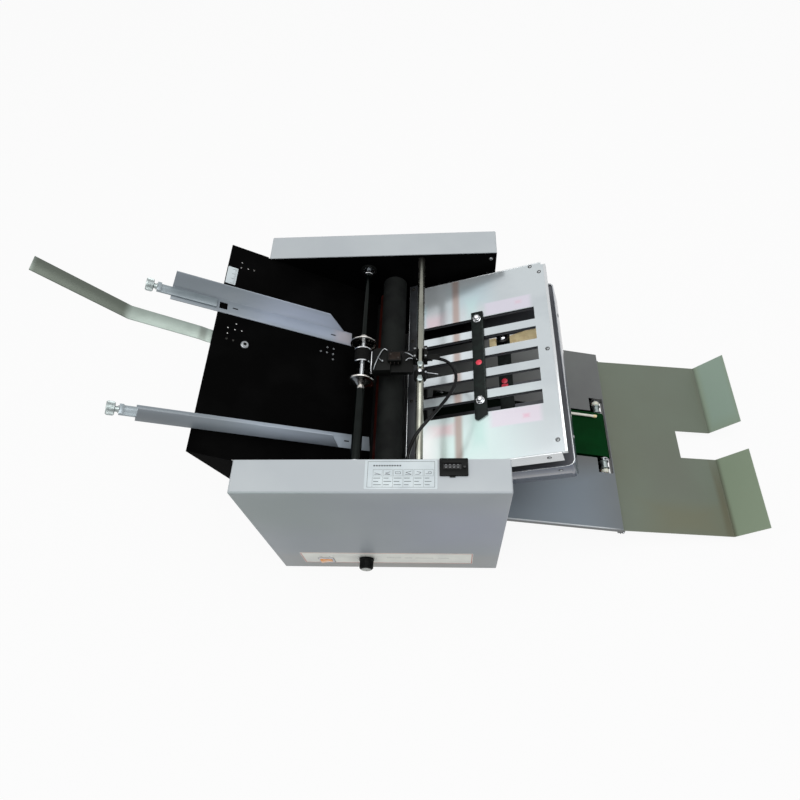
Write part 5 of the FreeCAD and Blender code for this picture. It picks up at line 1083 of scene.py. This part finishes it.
make_frame_trim()

# Delivery: end wheels, shaft nuts, hold-down rod

IDLE = DELIVERY @ shift(-12.654, 0, -10.8)


def make_delivery_fittings():
    spool = [(4.1, 0), (7.4, 0), (8.6, 0.6), (8.6, 2.2), (6.6, 3.4), (6.4, 8.4), (6.6, 13.4),
             (8.6, 14.6), (8.6, 16.2), (7.4, 16.8), (4.1, 16.8)]
    wheel = [(4.1, 0), (6.4, 0), (7.4, 0.8), (7.4, 6.8), (6.4, 7.6), (4.1, 7.6)]
    for side in (1, -1):
        turn = IDLE @ about("X", -90 * side)
        kind = "back" if side > 0 else "front"
        put(kind + "_end_spool", shifted(ring_shape(spool, 40), z=52.5), satin_white_metal,
            "belt_idle", turn, stands_for=("belt_idle_roller",))
        put(kind + "_end_wheel", shifted(ring_shape(wheel, 40), z=70.5), nylon_white,
            "belt_idle", turn)
        put(kind + "_end_nut", shifted(hexagon_nut(9, 3.4, 4.0), z=84.4), chrome, "belt_idle",
            turn, bevel=0.3)
    shaft = turned_shape([(0, -86), (3.4, -86), (4, -85.4), (4, 85.4), (3.4, 86), (0, 86)], 32)
    drum = ring_shape([(4.1, -49.5), (9.6, -49.5), (10, -49), (10, 49), (9.6, 49.5),
                       (4.1, 49.5)], 48)
    put("idle_drum", together(shaft, drum), ground_steel, "belt_idle", IDLE @ about("X", -90))
    rod = [(-23, 36.8, 4.8), (-108, 36.8, 4.8), (-112, 36.8, 4.8), (-112, 41, 4.8), (-112, 62, 4.8)]
    put("hold_down_wire", wire_shape(rod, 2.6), pale_polymer, BASE, DELIVERY,
        angle=60, stands_for=("hold_down_rod",))
    cap = turned_shape([(0, 0), (2.9, 0), (3.1, 0.6), (3.1, 6), (2.9, 6.6), (0, 6.6)], 24)
    put("hold_down_cap", moved(cap, shift(-23.6, 36.8, 4.8) @ about("Y", -90)), cream_acetal,
        BASE, DELIVERY)
    put("hold_down_foot", flat_shape(round_rectangle((-119, -105), (55, 69), 2), 0.3, 4.6),
        pale_polymer, BASE, DELIVERY, bevel=0.5)
    put("hold_down_screw", shifted(pan_head(2.6, 1.8), -112, 66, 4.6), screw_nickel, BASE, DELIVERY)
    # Black sheet under the belt's last stretch, folded up beside its end wheels: painted shade that
    # keeps the bright floor from showing through the table's openings
    put("belt_guard", together(
        box_shape((-250, -2), (-94, 94), (-26, -25)), box_shape((-250, -2), (93, 94), (-25, -2)),
        box_shape((-250, -2), (-94, -93), (-25, -2))), powder_black, BASE, DELIVERY)


make_delivery_fittings()

# Printed plate with folding sketches and bars for its rows

VINYL = 0.25
INK = 0.04


def fold_sketch(kind):
    """A small side view of a folded sheet, as lines in a cell 11 by 8."""
    runs = {0: [(1, 1), (10, 1), (1, 3.5)], 1: [(1, 1), (9, 1), (2, 3), (9, 5)],
            2: [(1, 5), (9, 5), (9, 2), (2, 2), (2, 4)], 3: [(1, 1), (10, 1), (2, 4), (10, 6)],
            4: [(1, 1), (6, 1), (9, 4), (3, 5.5)],
            5: [(1, 2), (9, 2), (9, 5), (5, 5), (5, 3.4)]}[kind]
    lines = []
    for (x, y), (u, v) in zip(runs, runs[1:]):
        way = Vector((u - x, v - y))
        side = Vector((-way.y, way.x)).normalized() * 0.3
        lines.append(flat_shape([(x + side.x, y + side.y), (x - side.x, y - side.y),
                                 (u - side.x, v - side.y), (u + side.x, v + side.y)], 0, INK))
    return lines


def border(x, y, wide):
    """A printed border line on the vinyl."""
    outer, inner = ([(x[0] + w, y[0] + w), (x[1] - w, y[0] + w), (x[1] - w, y[1] - w),
                     (x[0] + w, y[1] - w)] for w in (0, wide))
    return shifted(flat_shape(outer, 0, INK, [inner]), z=VINYL)


def make_fold_plate():
    top = square_on(0, 0, COVER_TOP)
    put("fold_plate", flat_shape(round_rectangle((194, 296.6), (-241.5, -197.2), 1.5), 0, VINYL),
        vinyl_pale, BASE, top, bevel=0.08)
    ink = [border((198, 293), (-239, -199.5), 0.45)]
    gray = []
    for column in range(6):
        x = 206 + 14.4 * column
        gray.append(border((x, x + 13), (-222, -212), 0.3))
        ink.append(shifted(together(*fold_sketch(column)), x + 1, -220.6, VINYL))
        gray.append(box_shape((x - 0.8, x - 0.5), (-238.6, -222.6), (VINYL, VINYL + INK)))
    # Rows of short ink bars of several lengths, one row for each kind of setting
    for row, y in enumerate((-225.6, -230.6, -235.6)):
        for column in range(6):
            x = 206.8 + 14.4 * column
            long = (9.5, 7, 11, 8, 10, 6.5)[(row + column) % 6]
            gray.append(box_shape((x, x + long), (y, y + 0.9), (VINYL, VINYL + INK)))
    dash = in_row(box_shape((0, 2.4), (0, 2.2), (0, INK)), 11, 3.7, ink_dark)
    ink.append(shifted(dash, 206, -207.2, VINYL))
    put("fold_plate_ink", together(*ink), ink_dark, BASE, top)
    put("fold_plate_rows", together(*gray), ink_gray, BASE, top)


make_fold_plate()

# Counter, control panel, switch and knob

def make_counter():
    top = square_on(319.5, COUNTER_Y, COVER_TOP)
    window = round_rectangle((-14.5, 10.5), (-3.4, 6), 0.8)
    case = flat_shape(round_rectangle((-20, 20), (-13, 13), 1.5), 0, 4, [
        window, circle_line(15, 0, 2.5, 20)])
    neck = box_shape((-17.8, 17.8), (-10.8, 10.8), (-24, -0.4))
    put("counter_case", together(case, neck), moulded_black, BASE, top, bevel=0.4,
        stands_for=("counter",))
    put("counter_floor", box_shape((-15.4, 11.4), (-4.4, 7), (0, 1.6)), glossy_black, BASE, top)
    put("counter_lip", flat_shape(round_rectangle((-6, 2), (-15, -12.5), 0.8), 0.4, 2.6),
        moulded_black, BASE, top, bevel=0.3)
    wheels = []
    for number in range(4):
        x = -11 + 5.6 * number
        wheels.append(moved(ring_shape([(1.35, 0), (1.95, 0), (1.95, 0.08), (1.35, 0.08)], 20),
                            shift(x, 1.3, 3.3) @ Matrix.Diagonal((0.82, 1.35, 1, 1))))
    put("counter_digits", together(*wheels), ink_white, BASE, top)
    drums = in_row(flat_shape(round_rectangle((0, 4.6), (-2.4, 5), 0.6), 1.6, 3.28), 4, 5.6,
                   glossy_black)
    put("counter_drums", shifted(drums, x=-13.3), glossy_black, BASE, top, bevel=0.2)
    button = turned_shape([(0, 1.3), (2.1, 1.3), (2.2, 1.5), (2.2, 4.9), (1.9, 5.3), (0, 5.4)], 28)
    put("counter_key", button, glossy_black, "reset", square_on(334.5, COUNTER_Y, COVER_TOP),
        stands_for=("counter_button",))


make_counter()


def make_panel():
    """Drawn in X and height, with the printed face outward."""
    face = square_on(0, COVER_FRONT, 0, "-Y")
    sheet, printed = 0.3, 0.36
    holes = [circle_line(KNOB_X, KNOB_Z, 13.9, 40), [(73, 31), (103, 31), (103, 59), (73, 59)]]
    put("control_panel", flat_shape(round_rectangle((45.5, 354.5), (28.5, 89), 2), 0, sheet,
                                    holes), vinyl_panel, BASE, face, bevel=0.08)
    line = flat_shape(round_rectangle((46.5, 353.5), (29.5, 88), 1.6), sheet, printed,
                      [round_rectangle((47.9, 352.1), (30.9, 86.6), 1.2)])
    put("control_panel_border", line, ink_red, BASE, face)
    tick = box_shape((15.6, 18.4), (-0.35, 0.35), (sheet, printed))
    ticks = round_axis(tick, 11, ink_dark, sweep=308)
    put("knob_ticks", moved(ticks, shift(KNOB_X, KNOB_Z, 0) @ about("Z", -50)), ink_dark, BASE,
        face)
    nought = ring_shape([(1.6, sheet), (2.2, sheet), (2.2, printed), (1.6, printed)], 20)
    marks = [shifted(nought, 80, 66), box_shape((95.7, 96.3), (64, 68), (sheet, printed))]
    for x, long in ((200, 26), (232, 14), (252, 32), (292, 20)):
        marks.append(box_shape((x, x + long), (60.6, 62), (sheet, 0.34)))
    put("panel_marks", together(*marks), ink_panel, BASE, face)
    bezel = flat_shape(round_rectangle((74, 102), (33, 57), 2.4), 0, 1.6,
                       [round_rectangle((77, 99), (36, 54), 0.8)])
    walls = [box_shape(x, y, z) for x, y, z in (
        ((76.2, 99.8), (53.9, 54.8), (-20, 0)), ((76.2, 99.8), (35.2, 36.1), (-20, 0)),
        ((76.2, 77.1), (36.1, 53.9), (-20, 0)), ((98.9, 99.8), (36.1, 53.9), (-20, 0)),
        ((76.4, 99.6), (35.4, 54.6), (-22, -20)))]
    put("switch_frame", together(bezel, *walls), moulded_pale, BASE, face, bevel=0.35,
        stands_for=("switch_bezel",))


make_panel()


def make_knob():
    turn = square_on(KNOB_X, COVER_FRONT, KNOB_Z, "-Y")
    knob = turned_shape([(0, -2.1), (3, -2.1), (3, 1), (13.2, 1), (13.5, 1.6), (13.4, 4),
                         (12.2, 5), (11.2, 18.6), (10.4, 19.8), (9.4, 19.8), (9.4, 19.2),
                         (0, 19.2)], 64)
    ridge = flat_shape([(11.4, -0.75), (12.5, -0.35), (12.5, 0.35), (11.4, 0.75)], 5, 18)
    put("speed_knob_fluted", together(knob, round_axis(ridge, 24, moulded_black)), moulded_black,
        "knob", turn, angle=40, stands_for=("speed_knob",))
    put("speed_knob_cap", turned_shape([(0, 19.2), (9.3, 19.2), (9.3, 20.6), (8.6, 21), (7.6, 20.6),
                                        (0, 20.4)], 48), zinc_plate, "knob", turn)
    put("speed_knob_line", box_shape((-0.5, 0.5), (-9, -4), (20.5, 20.7)), ink_dark, "knob", turn)


make_knob()

# Drive side: motor with cooling ribs

def make_motor():
    turn = square_on(95, 0, 52, "Y")
    case = turned_shape([(0, -40), (30, -40), (33, -38), (35.6, -33), (35.6, -18), (34, -17),
                         (34, 87), (35.6, 88), (35.6, 103), (33, 108), (12, 110), (12, 108),
                         (0, 108)], 64)
    rib = box_shape((33.6, 36), (-0.9, 0.9), (-16, 86))
    put("motor_case", together(case, round_axis(rib, 40, cast_motor)), cast_motor, BASE,
        turn, angle=40)
    # Dark pads on the end bell paint the shade inside its vent slots
    slots = round_axis(box_shape((14, 26), (-1.4, 1.4), (-40.3, -39.8)), 12, soft_rubber)
    put("motor_vents", slots, soft_rubber, BASE, turn)
    bolts = [((29 * math.cos(math.radians(a)), 29 * math.sin(math.radians(a)), 108.5), UP)
             for a in (45, 135, 225, 315)]
    put("motor_bolts", on_places(hexagon_nut(5.5, 1.4), bolts, zinc_plate), zinc_plate, BASE, turn)
    put("motor_box", box_shape((80, 112), (0, 48), (84, 104)), cast_motor, BASE, bevel=1.5)


make_motor()

# Nodes whose own shape is right

for node, material in {
        "base_pan": zinc_plate, "front_side_plate": powder_black,
        "back_side_plate": powder_black, "front_cover": powder_gray, "back_cover": powder_gray,
        "infeed_table": powder_black, "separator_block": moulded_black,
        "upper_plate_top": steel_painted_reflections, "upper_plate_bottom": shaded_steel,
        "second_plate_sheets": shaded_steel, "left_fold_plates": rolled_steel,
        "separator_pad": soft_rubber, "delivery_table": enamel_table,
        "delivery_tray": enamel_tray}.items():
    paint_node(node, material)


# Tests of one solid of a node, by its low and high corners in millimetres

def is_gear(low, high):
    return low[1] > -211 and high[1] < -201 and high[0] - low[0] > 40


def is_core(low, high):
    return high[1] - low[1] > 376


def is_pulley(low, high):
    return high[1] - low[1] < 9 and (low[1] > 199 or high[1] < -201)


def is_clamp(low, high):
    return low[2] > 364.5 or (abs(high[0] - low[0] - 22) < 0.5 and abs(high[1] - low[1] - 24) < 0.5)


ROLLER_PARTS = ((nylon_white, is_gear), (anodised_black, is_pulley), (ground_steel, is_core))
for node in ("main_roller", "red_roller", *("fold_roller_%d" % k for k in (1, 2, 3, 4))):
    smooth_node(node, red_rubber if node == "red_roller" else ground_rubber, others=ROLLER_PARTS)
for node, material in {
        "rubber_feet": soft_rubber, "rods_and_pegs": ground_steel, "cross_bar": satin_nickel,
        "bearings": ground_steel, "drive_belts": soft_rubber, "delivery_belt": belt_green,
        "paper_feeler": chrome}.items():
    smooth_node(node, material)
for node in ("feed_shaft", "motor_pulley", "belt_drive_roller"):
    smooth_node(node, ground_steel, others=((anodised_black, is_pulley),))
for node, material, broken in (
        ("back_guide", enamel_guide, 0.25), ("front_guide", enamel_guide, 0.25),
        ("back_guide_bar", zinc_bar, 0.3), ("front_guide_bar", zinc_bar, 0.3),
        ("support_strip", brushed_strip, 0.25), ("second_plate_frame", enamel_slate, 0.5),
        ("upper_plate_rails", rolled_steel, 0.25), ("switch_rocker", amber, 0.4),
        ("power_inlet", moulded_black, 0.4)):
    smooth_node(node, material, bevel=broken)
smooth_node("sensor_bracket", moulded_black, bevel=0.6, leave=is_clamp, others=(
    (zinc_plate, lambda low, high: low[0] > 280.5 and high[2] < 364),
    (soft_rubber, lambda low, high: low[0] > 277)))
smooth_node("motor", zinc_plate, leave=lambda low, high: high[1] - low[1] > 100)
smooth_node("control_board", ground_steel, others=(
    (board_green, lambda low, high: high[0] - low[0] > 90),
    (sleeve_blue, lambda low, high: 20 < high[1] - low[1] < 40
     and abs(high[0] - low[0] - 24.96) < 1),
    (wound_copper, lambda low, high: 37 < high[0] - low[0] < 40),
    (anodised_black, lambda low, high: 55 < high[0] - low[0] < 60)))

# Floor and light

def seen_rays(tree):
    """One where a ray comes from the lens or from a mirror or glass, and otherwise zero."""
    rays = add(tree, "ShaderNodeLightPath")
    first = math_of(tree, "MAXIMUM", rays.outputs["Is Camera Ray"], rays.outputs["Is Glossy Ray"])
    return math_of(tree, "MAXIMUM", first, rays.outputs["Is Transmission Ray"])


def make_studio():
    floor_shape = bmesh.new()
    reach = 6
    corners = [floor_shape.verts.new((x, y, SOLE * MM)) for x, y in
               ((-reach, -reach), (reach, -reach), (reach, reach), (-reach, reach))]
    floor_shape.faces.new(corners)
    mesh = bpy.data.meshes.new("studio_floor")
    floor_shape.to_mesh(mesh)
    floor = bpy.data.objects.new("studio_floor", mesh)
    bpy.context.scene.collection.objects.link(floor)
    pale = bpy.data.materials.new("pale_floor")
    pale.use_nodes = True
    tree = pale.node_tree
    tree.nodes.clear()
    paper = add(tree, "ShaderNodeBsdfPrincipled", {
        "Base Color": linear("#C4C4C4"), "Roughness": 0.9, "Specular IOR Level": 0.1})
    # The lens, metal and glass see a floor near to white that still takes the shadow
    glow = add(tree, "ShaderNodeEmission", {"Color": (1, 1, 1, 1), "Strength": 1.0})
    share = add(tree, "ShaderNodeMapRange", {"Value": seen_rays(tree), "To Max": 0.93})
    blend = add(tree, "ShaderNodeMixShader", {0: share, 1: paper, 2: glow})
    add(tree, "ShaderNodeOutputMaterial", {"Surface": blend})
    mesh.materials.append(pale)
    world = bpy.data.worlds.new("studio")
    world.use_nodes = True
    bpy.context.scene.world = world
    tree = world.node_tree
    tree.nodes.clear()
    strength = add(tree, "ShaderNodeMapRange", {"Value": seen_rays(tree), "To Min": 0.5,
                                                "To Max": 1.0})
    sky = add(tree, "ShaderNodeBackground", {"Color": (1, 1, 1, 1), "Strength": strength})
    add(tree, "ShaderNodeOutputWorld", {"Surface": sky})
    for name, place, aim, wide, watts in (
            ("key_lamp", (0.2, -0.3, 2.6), (0.2, 0, 0), 2.4, 52),
            ("fill_lamp", (-1.8, -1.6, 1.6), (0, 0, 0.2), 1.6, 5)):
        data = bpy.data.lights.new(name, "AREA")
        data.energy = watts
        data.size = wide
        lamp = bpy.data.objects.new(name, data)
        bpy.context.scene.collection.objects.link(lamp)
        lamp.location = place
        lamp.rotation_euler = (Vector(aim) - Vector(place)).to_track_quat("-Z", "Y").to_euler()
    bpy.context.scene.view_settings.view_transform = "Standard"


make_studio()
